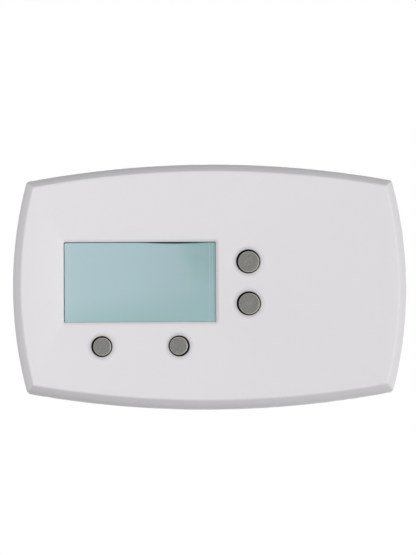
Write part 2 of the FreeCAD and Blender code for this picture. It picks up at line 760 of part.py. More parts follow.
def battery_bay():
    """The walls of the battery bay, and the two troughs and clearances cut from it."""
    high = BAY_HALF_HEIGHT + BAY_WALL
    mass = block(BAY_LEFT, BAY_RIGHT, -high, high, BAY_BACK, BAY_FRONT)
    cuts = []
    for x, _ in CELLS.values():
        trough = Part.makeCylinder(
            TROUGH_RADIUS, 2 * BAY_HALF_HEIGHT, at(x, -BAY_HALF_HEIGHT, CELL_DEPTH), Vector(0, 0, 1)
        )
        cuts.append(trough)
        cuts.append(
            block(
                x - TROUGH_RADIUS,
                x + TROUGH_RADIUS,
                -BAY_HALF_HEIGHT,
                BAY_HALF_HEIGHT,
                BAY_BACK - 1,
                CELL_DEPTH,
            )
        )
        for z in (-BAY_HALF_HEIGHT - 0.45, BAY_HALF_HEIGHT - 0.05):
            cuts.append(block(x - 5.1, x + 5.1, z, z + 0.5, BAY_BACK + 2, CELL_DEPTH + 5.1))
    middle = sum(x for x, _ in CELLS.values()) / 2
    cuts.append(block(middle - 2, middle + 2, -12, 12, BAY_BACK - 1, 9.0))
    return mass, cuts


def rear_housing():
    skirt = body_band(REAR_INSET, REAR_INSET + REAR_WALL, SKIRT_DEPTH, PARTING_DEPTH)
    panel = body_plate(REAR_INSET + 0.5, PANEL_BACK, PANEL_FRONT)
    ledge = body_band(REAR_INSET + 0.5, 3.5, PANEL_FRONT, PARTING_DEPTH)
    lip = body_band(COVER_WALL + 0.1, 3.5, PARTING_DEPTH, LIP_DEPTH)
    recess = block(
        -RECESS_HALF_WIDTH - RECESS_WALL,
        RECESS_HALF_WIDTH + RECESS_WALL,
        -RECESS_HALF_HEIGHT - RECESS_WALL,
        RECESS_HALF_HEIGHT + RECESS_WALL,
        PANEL_BACK,
        RECESS_FRONT + RECESS_WALL,
    )
    bay, cuts = battery_bay()
    cuts.append(
        block(
            -RECESS_HALF_WIDTH,
            RECESS_HALF_WIDTH,
            -RECESS_HALF_HEIGHT,
            RECESS_HALF_HEIGHT,
            PANEL_BACK - 1,
            RECESS_FRONT,
        )
    )
    for sx in (-1, 1):
        x0, x1 = mirrored(sx, PIN_X - 1.6, PIN_X + 1.6)
        cuts.append(block(x0, x1, -15.2, 21.2, PANEL_BACK - 1, PANEL_FRONT + 1))
        for sz in (-1, 1):
            x, z = sx * CASE_SCREW_X, sz * CASE_SCREW_Z
            cuts.append(rod(x, z, 1.3, PANEL_BACK - 1, PANEL_FRONT + 1))
            z0, z1 = mirrored(sz, 39.0, 50.0)
            hook_x = sx * HOOK_X
            cuts.append(block(hook_x - 4.6, hook_x + 4.6, z0, z1, 5.0, 7.3))
    cuts += vent_slots()
    return joined([skirt, panel, ledge, lip, recess, bay]).cut(cuts)


def vent_slots():
    """Slots in the top and bottom of the skirt, and through the panel behind them, for room air."""
    slots = []
    for step in range(-4, 5):
        x = VENT_PITCH * step
        x0, x1 = x - VENT_HALF_WIDTH, x + VENT_HALF_WIDTH
        for sz in (-1, 1):
            z0, z1 = mirrored(sz, 40.0, 50.0)
            slots.append(block(x0, x1, z0, z1, 4.6, 9.0))
            z0, z1 = mirrored(sz, 34.0, 40.5)
            slots.append(block(x0, x1, z0, z1, PANEL_BACK - 1, PANEL_FRONT + 1))
    return slots


def battery(name):
    """A cylindrical cell with its raised positive end at the top or the bottom."""
    x, way = CELLS[name]
    plate_z = BAY_HALF_HEIGHT - 0.3
    nub_tip = way * plate_z
    shoulder = nub_tip - way * CELL_NUB_HEIGHT
    far_end = shoulder - way * CELL_LENGTH
    up = Vector(0, 0, way)
    can = Part.makeCylinder(CELL_RADIUS, CELL_LENGTH, at(x, far_end, CELL_DEPTH), up)
    ends = [e for e in can.Edges if e.BoundBox.ZLength < 1e-6]
    can = can.makeFillet(0.5, ends)
    nub = Part.makeCylinder(CELL_NUB_RADIUS, CELL_NUB_HEIGHT, at(x, shoulder, CELL_DEPTH), up)
    return can.fuse(nub).removeSplitter()


def battery_plates():
    """The metal plates at both ends of each cell, standing in slots in the bay's end walls."""
    plates = []
    for x, _ in CELLS.values():
        for z in (-BAY_HALF_HEIGHT - 0.1, BAY_HALF_HEIGHT - 0.3):
            plates.append(block(x - 5.0, x + 5.0, z, z + 0.4, BAY_BACK + 2.1, CELL_DEPTH + 5.0))
    return Part.makeCompound(plates)


def battery_springs():
    """The space that the conical springs at the flat ends take, as thin-walled tapered tubes."""
    springs = []
    for x, way in CELLS.values():
        foot = -way * (BAY_HALF_HEIGHT - 0.3)
        top = way * (BAY_HALF_HEIGHT - 0.3 - CELL_NUB_HEIGHT - CELL_LENGTH)
        up = Vector(0, 0, way)
        height = abs(top - foot)
        outer = Part.makeCone(4.4, 2.8, height, at(x, foot, CELL_DEPTH), up)
        springs.append(outer.cut(Part.makeCone(3.7, 2.1, height, at(x, foot, CELL_DEPTH), up)))
    return Part.makeCompound(springs)


# ---------------------------------------------------------------- wall plate and terminals


def wall_plate():
    base = body_plate(PLATE_INSET, 0, PLATE_DEPTH)
    rim = body_band(3.1, 4.5, PLATE_DEPTH - 0.1, 5.4)
    rim = rim.cut(block(BAY_LEFT - 1.5, 80, -31.8, 31.8, PLATE_DEPTH, 8))
    wide, tall = 2 * WIRE_HALF_WIDTH, 2 * WIRE_HALF_HEIGHT
    collar = slab(0, 0, wide + 2.4, tall + 2.4, WIRE_CORNER + 1.2, PLATE_DEPTH, 4.2)
    opening = slab(0, 0, wide, tall, WIRE_CORNER, -1, 6)
    cuts = [opening]
    for sx in (-1, 1):
        x = sx * SLOT_SPACING / 2
        cuts.append(oblong(x, 0, SLOT_LENGTH, SLOT_RADIUS, -1, 5))
        cuts.append(slab(x, 0, 14.0, 9.0, 2.0, SLOT_PAD_DEPTH, 5))
        for sz in (-1, 1):
            z0, z1 = mirrored(sz, 38.2, 44.0)
            hook_x = sx * HOOK_X
            cuts.append(block(hook_x - 5, hook_x + 5, z0, z1, PLATE_DEPTH, 8))
    cuts += back_pockets()
    return base.fuse([rim, collar]).removeSplitter().cut(cuts)


def back_pockets():
    """Shallow pockets in the back face that leave a grid of ribs and a flat border."""
    pockets = []
    for sx in (-1, 1):
        for x0, x1 in ((30.0, 35.5), (48.5, 56.0), (57.5, 64.0)):
            for z0, z1 in ((-13.0, -0.75), (0.75, 13.0)):
                low, high = mirrored(sx, x0, x1)
                pockets.append(block(low, high, z0, z1, -1, POCKET_DEPTH))
        for x0, x1 in ((1.0, 14.0), (15.5, 28.5), (30.0, 43.0), (44.5, 57.5)):
            low, high = mirrored(sx, x0, x1)
            for sz in (-1, 1):
                z0, z1 = mirrored(sz, 22.5, 36.0)
                pockets.append(block(low, high, z0, z1, -1, POCKET_DEPTH))
    return pockets


def snap_hooks():
    """Four spring hooks that stand on the plate and catch in the rear housing's skirt."""
    hooks = []
    for sx in (-1, 1):
        for sz in (-1, 1):
            x = sx * HOOK_X
            z0, z1 = mirrored(sz, HOOK_INNER_Z, HOOK_OUTER_Z)
            x0, x1 = x - HOOK_HALF_WIDTH, x + HOOK_HALF_WIDTH
            arm = block(x0, x1, z0, z1, PLATE_DEPTH, HOOK_FRONT)
            ramp = [
                at(x0, sz * HOOK_OUTER_Z, NIB_BACK),
                at(x0, sz * NIB_OUTER_Z, NIB_BACK),
                at(x0, sz * HOOK_OUTER_Z, HOOK_FRONT),
            ]
            nib = Part.Face(Part.makePolygon(ramp + ramp[:1]))
            nib = nib.extrude(Vector(2 * HOOK_HALF_WIDTH, 0, 0))
            hooks.append(joined([arm, nib]))
    return Part.makeCompound(hooks)


def terminal_block(side):
    """A moulded block with five clamp chambers, wire entries, screw wells and blade sockets."""
    x0, x1 = mirrored(side, BLOCK_INNER_X, BLOCK_OUTER_X)
    body = block(x0, x1, -BLOCK_HALF_HEIGHT, BLOCK_HALF_HEIGHT, PLATE_DEPTH, BLOCK_DEPTH)
    cuts = []
    for row in TERMINAL_ROWS:
        cuts.append(rod(side * SCREW_X, row, WELL_RADIUS, CHAMBER_DEPTHS[0], BLOCK_DEPTH + 1))
        low, high = mirrored(side, *CHAMBER_X)
        bottom = row - CHAMBER_HALF_HEIGHT
        top = row + CHAMBER_HALF_HEIGHT
        cuts.append(block(low, high, bottom, top, *CHAMBER_DEPTHS))
        low, high = mirrored(side, BLOCK_INNER_X - 1, CHAMBER_X[0])
        cuts.append(block(low, high, row - ENTRY_HALF_HEIGHT, row + ENTRY_HALF_HEIGHT, *ENTRY_DEPTHS))
        low, high = mirrored(side, 18.2, 28.2)
        cuts.append(block(low, high, row - 2.7, row + 3.9, 2.9, 3.8))
        low, high = mirrored(side, 18.6, 20.6)
        cuts.append(block(low, high, row + 2.2, row + 3.9, 3.7, BLOCK_DEPTH + 1))
    if side > 0:
        cuts.append(block(SCREW_X - 1.4, SCREW_X + 1.4, *JUMPED_ROWS, 6.3, BLOCK_DEPTH + 1))
    return body.cut(cuts)


def terminal_contacts():
    """Brass strips, each running from under a screw to a two-leaf socket for a blade."""
    strips = []
    for side in (-1, 1):
        for row in TERMINAL_ROWS:
            low, high = mirrored(side, 18.4, 28.0)
            strip = block(low, high, row - 2.5, row + 3.7, *STRIP_DEPTHS)
            leaves = []
            for near, far in LEAVES:
                low, high = mirrored(side, near, far)
                leaves.append(block(low, high, row + 2.3, row + 3.7, STRIP_DEPTHS[1], LEAF_FRONT))
            strips.append(joined([strip] + leaves).cut(rod(side * SCREW_X, row, 1.3, 2, 5)))
    return Part.makeCompound(strips)


def terminal_clamps():
    """The square plates that the screws press on the wires."""
    plates = []
    for side in (-1, 1):
        for row in TERMINAL_ROWS:
            low, high = mirrored(side, *CLAMP_X)
            plate = block(low, high, row - 2.6, row + 2.6, *CLAMP_DEPTHS)
            plates.append(plate.cut(rod(side * SCREW_X, row, 1.4, 5, 7)))
    return Part.makeCompound(plates)


def terminal_screws():
    made = []
    for side in (-1, 1):
        for row in TERMINAL_ROWS:
            lift = 0.7 if side > 0 and row in JUMPED_ROWS else 0.0
            under = 6.4 + lift
            head = rod(side * SCREW_X, row, TERMINAL_HEAD_RADIUS, under, under + 1.7)
            head = head.makeFillet(0.5, edges_at(head, under + 1.7))
            shank = rod(side * SCREW_X, row, TERMINAL_SHANK_RADIUS, 3.0, under)
            slot = block(
                side * SCREW_X - 3, side * SCREW_X + 3, row - 0.35, row + 0.35, under + 0.9, under + 3
            )
            made.append(joined([head, shank]).cut(slot))
    return Part.makeCompound(made)


def power_jumper():
    """The removable metal link between two neighbouring terminals."""
    low, high = JUMPED_ROWS
    link = block(SCREW_X - 1.3, SCREW_X + 1.3, low, high, *LINK_DEPTHS)
    ends = [rod(SCREW_X, z, 2.0, *LINK_DEPTHS) for z in (low, high)]
    holes = [rod(SCREW_X, z, 1.35, 6, 8) for z in (low, high)]
    return joined([link] + ends).cut(holes)


# ---------------------------------------------------------------- all the nodes


def nodes():
    made = {
        "wall_plate": wall_plate(),
        "snap_hooks": snap_hooks(),
        "terminal_block_left": terminal_block(-1),
        "terminal_block_right": terminal_block(1),
        "terminal_contacts": terminal_contacts(),
        "terminal_clamps": terminal_clamps(),
        "terminal_screws": terminal_screws(),
        "power_jumper": power_jumper(),
        "front_cover": front_cover(),
        "rear_housing": rear_housing(),
        "case_screws": case_screws(),
        "display_window": display_window(),
        "display_frame": display_frame(),
        "main_board": main_board(),
        "board_screws": board_screws(),
        "contact_pads": contact_pads(),
        "relays": relays(),
        "controller_chip": controller_chip(),
        "capacitors": capacitors(),
        "crystal": crystal(),
        "chip_parts": chip_parts(),
        "temperature_sensor": temperature_sensor(),
        "header_left": header(-1),
        "header_right": header(1),
        "header_pins": header_pins(),
        "battery_left": battery("left"),
        "battery_right": battery("right"),
        "battery_plates": battery_plates(),
        "battery_springs": battery_springs(),
        "keypad_web_side": keypad_web(("up", "down"), *SIDE_WEB),
        "keypad_web_lower": keypad_web(("left", "right"), *LOWER_WEB),
    }
    made.update(display_layers())
    for name in BUTTONS:
        made[f"{name}_button"] = button_cap(name)
        made[f"{name}_plunger"] = button_plunger(name)
        made[f"{name}_contact_pill"] = contact_pill(name)
        made[f"{name}_dome_spring"] = dome_spring(name)
    return made


def main():
    os.makedirs("parts", exist_ok=True)
    for name, shape in nodes().items():
        solids = shape.Solids
        closed = all(solid.isValid() and solid.isClosed() and solid.Volume > 0 for solid in solids)
        print(f"{name}: {len(solids)} solids, {shape.Volume / 1000:.3f} cm3, valid {closed}")
        shape.exportStep(f"parts/{name}.step")


main()
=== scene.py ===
"""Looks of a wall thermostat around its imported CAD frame.

Lengths are in millimetres until a mesh is made. X runs to the right and Z up, as in the frame.
Sizes towards the room are depths from the wall, so a point's Y is minus its depth.
"""

import json
import math

import bmesh
import bpy
from mathutils import Matrix, Vector
from mathutils.geometry import delaunay_2d_cdt


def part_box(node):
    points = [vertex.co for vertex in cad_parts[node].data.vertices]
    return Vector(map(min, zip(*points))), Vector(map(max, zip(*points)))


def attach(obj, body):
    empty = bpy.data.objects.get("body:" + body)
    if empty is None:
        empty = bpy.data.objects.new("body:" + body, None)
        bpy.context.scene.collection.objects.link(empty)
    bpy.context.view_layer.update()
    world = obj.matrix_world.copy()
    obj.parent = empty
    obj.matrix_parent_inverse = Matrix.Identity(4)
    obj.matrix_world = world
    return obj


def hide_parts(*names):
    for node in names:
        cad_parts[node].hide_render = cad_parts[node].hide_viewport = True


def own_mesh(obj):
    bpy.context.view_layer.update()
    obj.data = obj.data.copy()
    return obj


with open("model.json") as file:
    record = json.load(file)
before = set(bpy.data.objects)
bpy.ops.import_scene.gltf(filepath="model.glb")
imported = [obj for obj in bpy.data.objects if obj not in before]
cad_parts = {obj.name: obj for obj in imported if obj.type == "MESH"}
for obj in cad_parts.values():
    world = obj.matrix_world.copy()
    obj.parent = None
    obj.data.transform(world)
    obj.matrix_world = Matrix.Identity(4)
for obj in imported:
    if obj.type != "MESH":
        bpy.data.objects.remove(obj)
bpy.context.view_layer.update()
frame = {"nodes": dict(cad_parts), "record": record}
NODES = frame["nodes"]
MM = 0.001


# ---------------------------------------------------------------- sizes read from the frame


def extent(node):
    """A node's low and high X, low and high Z, and back and front depth, in millimetres."""
    low, high = (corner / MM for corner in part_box(node))
    return low.x, high.x, low.z, high.z, -high.y, -low.y


def middle(node):
    x0, x1, z0, z1, _, _ = extent(node)
    return (x0 + x1) / 2, (z0 + z1) / 2


COVER = extent("front_cover")
HALF_WIDTH = COVER[1]
HALF_HEIGHT = COVER[3]
PARTING_DEPTH = COVER[4]
FACE_DEPTH = COVER[5]
WINDOW_X, WINDOW_Z = middle("display_window")
LENS = extent("display_window")

# The outline's long arcs, and the cover's section. They repeat the CAD's design sizes, except that
# the bevel's round is 22 mm instead of 4 mm, the face reaches 0.3 mm further out, and the button
# holes are 0.07 mm smaller in radius
TOP_RADIUS = 377.4
SIDE_RADIUS = 151.4
CORNER_RADIUS = 1.6
MIN_CORNER_RADIUS = 0.7
COVER_WALL = 2.4
COVER_DRAFT = 0.3
BEVEL_DEPTH = 29.5
INNER_BEVEL_DEPTH = 28.3
CEILING_DEPTH = 33.4
CEILING_INSET = 5.2
FACE_INSET = 3.4
BEVEL_ROUND = 22.0
FACE_ROUND = 1.0
RIM_ROUND = 0.25
DISH_DROP = 1.3
DISH_HALF_WIDTH = 67.0
DISH_HALF_HEIGHT = 36.7
WINDOW_WIDTH = 56.5
WINDOW_HEIGHT = 29.8
WINDOW_CORNER = 0.5
WINDOW_CHAMFER = 0.9
BUTTON_GAP = 0.53
HOLE_ROUND = 0.2
HOLE_ROUND_STEPS = 4
WINDOW_EDGE_ROUND = 0.7
CHAMFER_ROUND = 0.15
HALO_PLACE = 1.15
HALO_WIDTH = 0.28
HALO_DEPTH = 0.08

# Posts inside the cover: (radius, pilot hole's radius, foot's depth, pilot hole's end)
BOSS = (3.0, 1.05, 12.1, 24.0)
BOSS_X = 61.0
BOSS_Z = 34.0
STAKE = (0.7, 0.0, 31.6, 31.6)
STAKE_X = 29.9
STAKE_Z = 16.4
BOARD_POST = (2.4, 0.85, 25.2, 31.2)
BOARD_POST_X = (-64.0, 62.0)
BOARD_POST_Z = (-22.0, 22.0)
POST_CHAMFER = 0.2
POST_OVERLAP = 0.15

# Buttons: how far the flange stands out of the cap, how each edge is rounded, how far each cap
# lies off its hole's centre, and how far its top leans from its foot
FLANGE_LEDGE = 1.05
FLANGE_BACK = 32.2
FLANGE_FRONT = 33.2
FLANGE_ROUND = 0.1
SEAT_TOP = 30.0
FOOT_RADIUS = 2.4
FOOT_CHAMFER = 0.3
CAP_SIDE = 2.0
TOP_INSET = 0.9
TOP_RIM_DROP = 0.03
TOP_DISH = 0.10
KEYS = ("up", "down", "left", "right")
CAP_OFFSETS = {"up": (0.20, -0.17), "down": (0.20, -0.13), "left": (0.17, -0.07), "right": (-0.17, 0.03)}
CAP_ROUND = 0.5
CAP_LEAN = (-0.12, 0.08)
ARROW_SIZE = 3.7
ARROW_REACH = 0.62
ARROW_FOOT = 0.42
ARROW_CORNER = 0.07
ARROW_LIFT = 0.075
ARROW_MARGIN = 0.4
ARROW_RINGS = ((0, 0), (0.4, ARROW_LIFT), (0.68, ARROW_LIFT), (1.05, 0), (2.0, 0))
DOME_TIP = 2.6
DOME_WALL = 0.45
DOME_BULGE = 0.18
DOME_STEPS = 8


# ---------------------------------------------------------------- mesh helpers


class Skin:
    """The points and faces of one piece, in millimetres: X, height and depth from the wall."""

    def __init__(self):
        self.points = []
        self.faces = []

    def loop(self, points):
        """Adds a ring of points and returns their numbers."""
        first = len(self.points)
        self.points.extend(points)
        return list(range(first, len(self.points)))

    def band(self, one, other):
        """Joins two closed rings of the same length."""
        count = len(one)
        for i in range(count):
            j = (i + 1) % count
            self.faces.append((one[i], one[j], other[j], other[i]))

    def rings(self, loops):
        for one, other in zip(loops, loops[1:]):
            self.band(one, other)

    def cap(self, ring):
        self.faces.append(tuple(ring))

    def fill(self, outer, holes, extra, inside, depth_at):
        """Triangles between an outer ring and rings of holes, through extra points on a surface."""
        flat, edges, numbers = [], [], []
        for ring in [outer] + holes:
            first = len(flat)
            for i, number in enumerate(ring):
                flat.append(Vector(self.points[number][:2]))
                numbers.append(number)
                edges.append((first + i, first + (i + 1) % len(ring)))
        for x, z in extra:
            flat.append(Vector((x, z)))
            numbers.append(len(self.points))
            self.points.append((x, z, depth_at(x, z)))
        verts, _, faces, origins, _, _ = delaunay_2d_cdt(flat, edges, [], 0, 1e-7)
        for face in faces:
            centre = sum((verts[i] for i in face), Vector((0, 0))) / len(face)
            if inside(centre.x, centre.y):
                self.faces.append(tuple(numbers[origins[i][0]] for i in face))

    def piece(self, name, material, body, sharp=40):
        """Makes the mesh object, with smooth shading that breaks at edges sharper than an angle."""
        mesh = bpy.data.meshes.new(name)
        mesh.from_pydata([(x * MM, -d * MM, z * MM) for x, z, d in self.points], [], self.faces)
        work = bmesh.new()
        work.from_mesh(mesh)
        bmesh.ops.recalc_face_normals(work, faces=work.faces)
        work.to_mesh(mesh)
        work.free()
        mesh.shade_smooth()
        mesh.set_sharp_from_angle(angle=math.radians(sharp))
        mesh.materials.append(material)
        made = bpy.data.objects.new(name, mesh)
        bpy.context.scene.collection.objects.link(made)
        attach(made, body)
        return made


def rounded(corners, steps=5):
    """A line through (a, b, radius) corners, with an arc of that radius at each."""
    points = []
    for i, (a, b, radius) in enumerate(corners):
        here = Vector((a, b))
        if radius == 0 or i in (0, len(corners) - 1):
            points.append(here)
            continue
        back = (Vector(corners[i - 1][:2]) - here).normalized()
        ahead = (Vector(corners[i + 1][:2]) - here).normalized()
        half = back.angle(ahead) / 2
        reach = radius / math.tan(half)
        centre = here + (back + ahead).normalized() * (radius / math.sin(half))
        start, end = here + back * reach - centre, here + ahead * reach - centre
        sweep = start.angle_signed(end)
        for step in range(steps + 1):
            turned = Matrix.Rotation(-sweep * step / steps, 2) @ start
            points.append(centre + turned)
    return [(p.x, p.y) for p in points]


def inside_ring(ring, x, z):
    """Whether a point lies inside a closed ring, by the even-odd rule."""
    within = False
    for (ax, az, *_), (bx, bz, *_) in zip(ring, ring[1:] + ring[:1]):
        if (az > z) != (bz > z) and x < ax + (bx - ax) * (z - az) / (bz - az):
            within = not within
    return within


def circle(x, z, radius, depth, count=72):
    """A ring of points; depth is a number or a function of x and z."""
    ring = []
    for i in range(count):
        angle = 2 * math.pi * i / count
        px, pz = x + radius * math.cos(angle), z + radius * math.sin(angle)
        ring.append((px, pz, depth(px, pz) if callable(depth) else depth))
    return ring


def rectangle(x, z, width, height, corner, depth, along=(36, 20), turn=6):
    """A ring of points round a rectangle with round corners."""
    ring = []
    for quarter in range(4):
        sx, sz = ((1, 1), (-1, 1), (-1, -1), (1, -1))[quarter]
        cx, cz = x + sx * (width / 2 - corner), z + sz * (height / 2 - corner)
        for i in range(turn + 1):
            angle = math.pi / 2 * (quarter + i / turn)
            ring.append((cx + corner * math.cos(angle), cz + corner * math.sin(angle), depth))
        start = Vector(ring[-1])
        way_x, way_z = ((-1, 0), (0, -1), (1, 0), (0, 1))[quarter]
        length = (width if quarter % 2 == 0 else height) - 2 * corner
        count = along[quarter % 2]
        for i in range(1, count):
            px = start.x + way_x * length * i / count
            pz = start.y + way_z * length * i / count
            ring.append((px, pz, depth))
    return ring


def corner_points(inset, corner, steps=6):
    """The round corner between the top arc and the side arc, from the top to the side."""
    top, side = Vector((0, HALF_HEIGHT - TOP_RADIUS)), Vector((HALF_WIDTH - SIDE_RADIUS, 0))
    r_top, r_side = TOP_RADIUS - inset - corner, SIDE_RADIUS - inset - corner
    span = side - top
    along = (r_top**2 - r_side**2 + span.length_squared) / (2 * span.length)
    across = math.sqrt(r_top**2 - along**2)
    unit = span.normalized()
    centre = top + unit * along - Vector((-unit.y, unit.x)) * across
    first, last = (centre - top).normalized(), (centre - side).normalized()
    a, b = math.atan2(first.y, first.x), math.atan2(last.y, last.x)
    angles = [a + (b - a) * i / steps for i in range(steps + 1)]
    return [(centre.x + corner * math.cos(t), centre.y + corner * math.sin(t)) for t in angles]


def outline(inset, depth, top_steps=44, side_steps=28):
    """The body's outline moved inwards, as a ring of points with the same count at every inset."""
    corner = corner_points(inset, max(CORNER_RADIUS - inset, MIN_CORNER_RADIUS))
    quarter = []
    radius = TOP_RADIUS - inset
    sweep = math.asin(corner[0][0] / radius)
    for i in range(top_steps):
        angle = sweep * i / top_steps
        quarter.append((radius * math.sin(angle), HALF_HEIGHT - TOP_RADIUS + radius * math.cos(angle)))
    quarter += corner
    radius = SIDE_RADIUS - inset
    sweep = math.asin(corner[-1][1] / radius)
    for i in range(1, side_steps + 1):
        angle = sweep * (1 - i / side_steps)
        quarter.append((HALF_WIDTH - SIDE_RADIUS + radius * math.cos(angle), radius * math.sin(angle)))
    ring = list(quarter)
    ring += [(x, -z) for x, z in reversed(quarter[:-1])]
    ring += [(-x, -z) for x, z in quarter[1:]]
    ring += [(-x, z) for x, z in reversed(quarter[1:-1])]
    return [(x, z, depth) for x, z in ring]


def lathe(skin, centre, profile, count=64, turn="depth"):
    """A closed solid turned from a profile of (radius, position) that starts and ends on the axis.

    The axis runs along the depth at (x, z), or along Z at (x, depth)."""
    loops = []
    for radius, position in profile:
        if radius == 0:
            loops.append(None)
            continue
        ring = []
        for i in range(count):
            angle = 2 * math.pi * i / count
            a, b = centre[0] + radius * math.cos(angle), centre[1] + radius * math.sin(angle)
            ring.append((a, b, position) if turn == "depth" else (a, position, b))
        loops.append(skin.loop(ring))
    for one, other, (_, before), (_, after) in zip(loops, loops[1:], profile, profile[1:]):
        if one is None or other is None:
            ring, position = (other, before) if one is None else (one, after)
            axis = (*centre, position) if turn == "depth" else (centre[0], position, centre[1])
            tip = skin.loop([axis])[0]
            for i in range(count):
                skin.faces.append((ring[i], ring[(i + 1) % count], tip))
        else:
            skin.band(one, other)


# ---------------------------------------------------------------- materials


class Look:
    """One procedural material: a Principled shader with tint, roughness and relief from noise."""

    def __init__(self, name, roughness=0.5, **inputs):
        self.material = bpy.data.materials.new(name)
        self.material.use_nodes = True
        self.nodes = self.material.node_tree.nodes
        self.links = self.material.node_tree.links
        self.shader = self.nodes["Principled BSDF"]
        self.shader.inputs["Roughness"].default_value = roughness
        for key, value in inputs.items():
            self.shader.inputs[key.replace("_", " ")].default_value = value
        self.coords = self.nodes.new("ShaderNodeTexCoord")
        self.place = self.coords.outputs["Object"]
        self.relief = None

    def add(self, kind, inputs=(), **settings):
        node = self.nodes.new(kind)
        for key, value in settings.items():
            setattr(node, key, value)
        for key, value in inputs:
            if isinstance(value, bpy.types.NodeSocket):
                self.links.new(value, node.inputs[key])
            else:
                node.inputs[key].default_value = value
        return node

    def stretched(self, scale):
        return self.add("ShaderNodeMapping", [("Vector", self.place), ("Scale", scale)]).outputs["Vector"]

    def noise(self, size, detail=2.0, stretch=None):
        """Noise whose features are about size millimetres across."""
        place = self.stretched(stretch) if stretch else self.place
        inputs = [("Vector", place), ("Scale", 1 / (size * MM)), ("Detail", detail)]
        return self.add("ShaderNodeTexNoise", inputs).outputs["Fac"]

    def ramp(self, factor, stops):
        node = self.add("ShaderNodeValToRGB", [("Fac", factor)])
        ramp = node.color_ramp
        while len(ramp.elements) < len(stops):
            ramp.elements.new(0.5)
        for element, (position, colour) in zip(ramp.elements, stops):
            element.position = position
            element.color = (*colour, 1)
        return node.outputs["Color"]

    def mix(self, factor, one, other):
        inputs = [("Factor", factor)]
        node = self.add("ShaderNodeMix", inputs, data_type="RGBA")
        for socket, value in ((node.inputs[6], one), (node.inputs[7], other)):
            if isinstance(value, bpy.types.NodeSocket):
                self.links.new(value, socket)
            else:
                socket.default_value = (*value, 1)
        return node.outputs[2]

    def between(self, value, low, high, to_low=0.0, to_high=1.0):
        inputs = [("Value", value), ("From Min", low), ("From Max", high)]
        inputs += [("To Min", to_low), ("To Max", to_high)]
        return self.add("ShaderNodeMapRange", inputs).outputs["Result"]

    def axis(self, name):
        return self.add("ShaderNodeSeparateXYZ", [("Vector", self.place)]).outputs[name]

    def math(self, operation, one, other=0.0):
        return self.add("ShaderNodeMath", [(0, one), (1, other)], operation=operation).outputs[0]

    def colour(self, socket):
        self.links.new(socket, self.shader.inputs["Base Color"])
        return self

    def tint(self):
        """The socket that feeds the base colour so far."""
        return self.shader.inputs["Base Color"].links[0].from_socket

    def rough(self, factor, low, high):
        self.links.new(self.between(factor, 0.3, 0.7, low, high), self.shader.inputs["Roughness"])
        return self

    def bump(self, height, strength, distance):
        """Adds relief, with its height in millimetres, on top of any there already."""
        inputs = [("Height", height), ("Strength", strength), ("Distance", distance * MM)]
        node = self.add("ShaderNodeBump", inputs)
        if self.relief:
            self.links.new(self.relief, node.inputs["Normal"])
        self.relief = node.outputs["Normal"]
        self.links.new(self.relief, self.shader.inputs["Normal"])
        return self


def shade(colour, factor):
    return tuple(min(channel * factor, 1.0) for channel in colour)


def moulded(
    name, colour, roughness=0.45, tint=0.03, patch=25.0, grain=0.18, grain_height=0.012, **inputs
):
    """Injection-moulded plastic: slight tint drift, fine spark-eroded grain and uneven sheen."""
    look = Look(name, roughness, **inputs)
    drift = look.noise(patch, 3.0)
    stops = [(0.3, shade(colour, 1 - tint)), (0.7, shade(colour, 1 + tint))]
    look.colour(look.ramp(drift, stops))
    fine = look.noise(grain, 2.0)
    look.rough(look.noise(patch / 4, 4.0), roughness - 0.05, roughness + 0.05)
    look.bump(fine, 0.5, grain_height)
    look.bump(look.noise(6.0, 2.0), 0.25, 0.02)
    return look


def metal(name, colour, roughness=0.3, streak=(1, 1, 1), wear=0.12):
    """Plated or drawn metal with fine streaks and a little tarnish."""
    look = Look(name, roughness, Metallic=1.0)
    fine = look.noise(0.25, 3.0, streak)
    stain = look.noise(3.0, 4.0)
    stops = [(0.35, shade(colour, 1 - wear)), (0.65, shade(colour, 1 + wear / 2))]
    look.colour(look.ramp(stain, stops))
    look.rough(fine, roughness - 0.08, roughness + 0.12)
    look.bump(fine, 0.3, 0.008)
    return look


# ---------------------------------------------------------------- the front cover


INNER_X = WINDOW_WIDTH / 2 + WINDOW_CHAMFER
INNER_Z = WINDOW_HEIGHT / 2 + WINDOW_CHAMFER
CREASE_POWER = 30.0

# The face's mesh: rings this far out from each hole and from the window, then a staggered grid
HOLE_STEPS = (0.45, 0.7, 0.85, 1.0, 1.15, 1.3, 1.45, 1.6, 1.9, 2.4, 3.0)
WINDOW_STEPS = (0.5, 1.1, 1.9, 2.9, 4.2)
WINDOW_STEP_CORNER = 1.4
RING_FROM_HOLE = 3.2
GRID = 1.6
GRID_STAGGER = 0.3
GRID_FROM_HOLE = 3.5
GRID_FROM_WINDOW = 5.0
GRID_FROM_EDGE = 0.7


def key_hole(key):
    """The centre of a button's hole and the radius of its cap."""
    x, z = middle(f"{key}_plunger")
    low, high = extent(f"{key}_button")[:2]
    return x, z, (high - low) / 2 - FLANGE_LEDGE


HOLES = {key: key_hole(key) for key in KEYS}


def dish_share(x, z):
    """How far out a point of the face lies: 0 at the window's edge and 1 at the dish's rim."""
    shares = (
        (x - WINDOW_X - INNER_X) / (DISH_HALF_WIDTH - WINDOW_X - INNER_X),
        (WINDOW_X - INNER_X - x) / (DISH_HALF_WIDTH + WINDOW_X - INNER_X),
        (z - WINDOW_Z - INNER_Z) / (DISH_HALF_HEIGHT - WINDOW_Z - INNER_Z),
        (WINDOW_Z - INNER_Z - z) / (DISH_HALF_HEIGHT + WINDOW_Z - INNER_Z),
    )
    total = sum(max(share, 0.0) ** CREASE_POWER for share in shares)
    return min(total ** (1 / CREASE_POWER), 1.0)


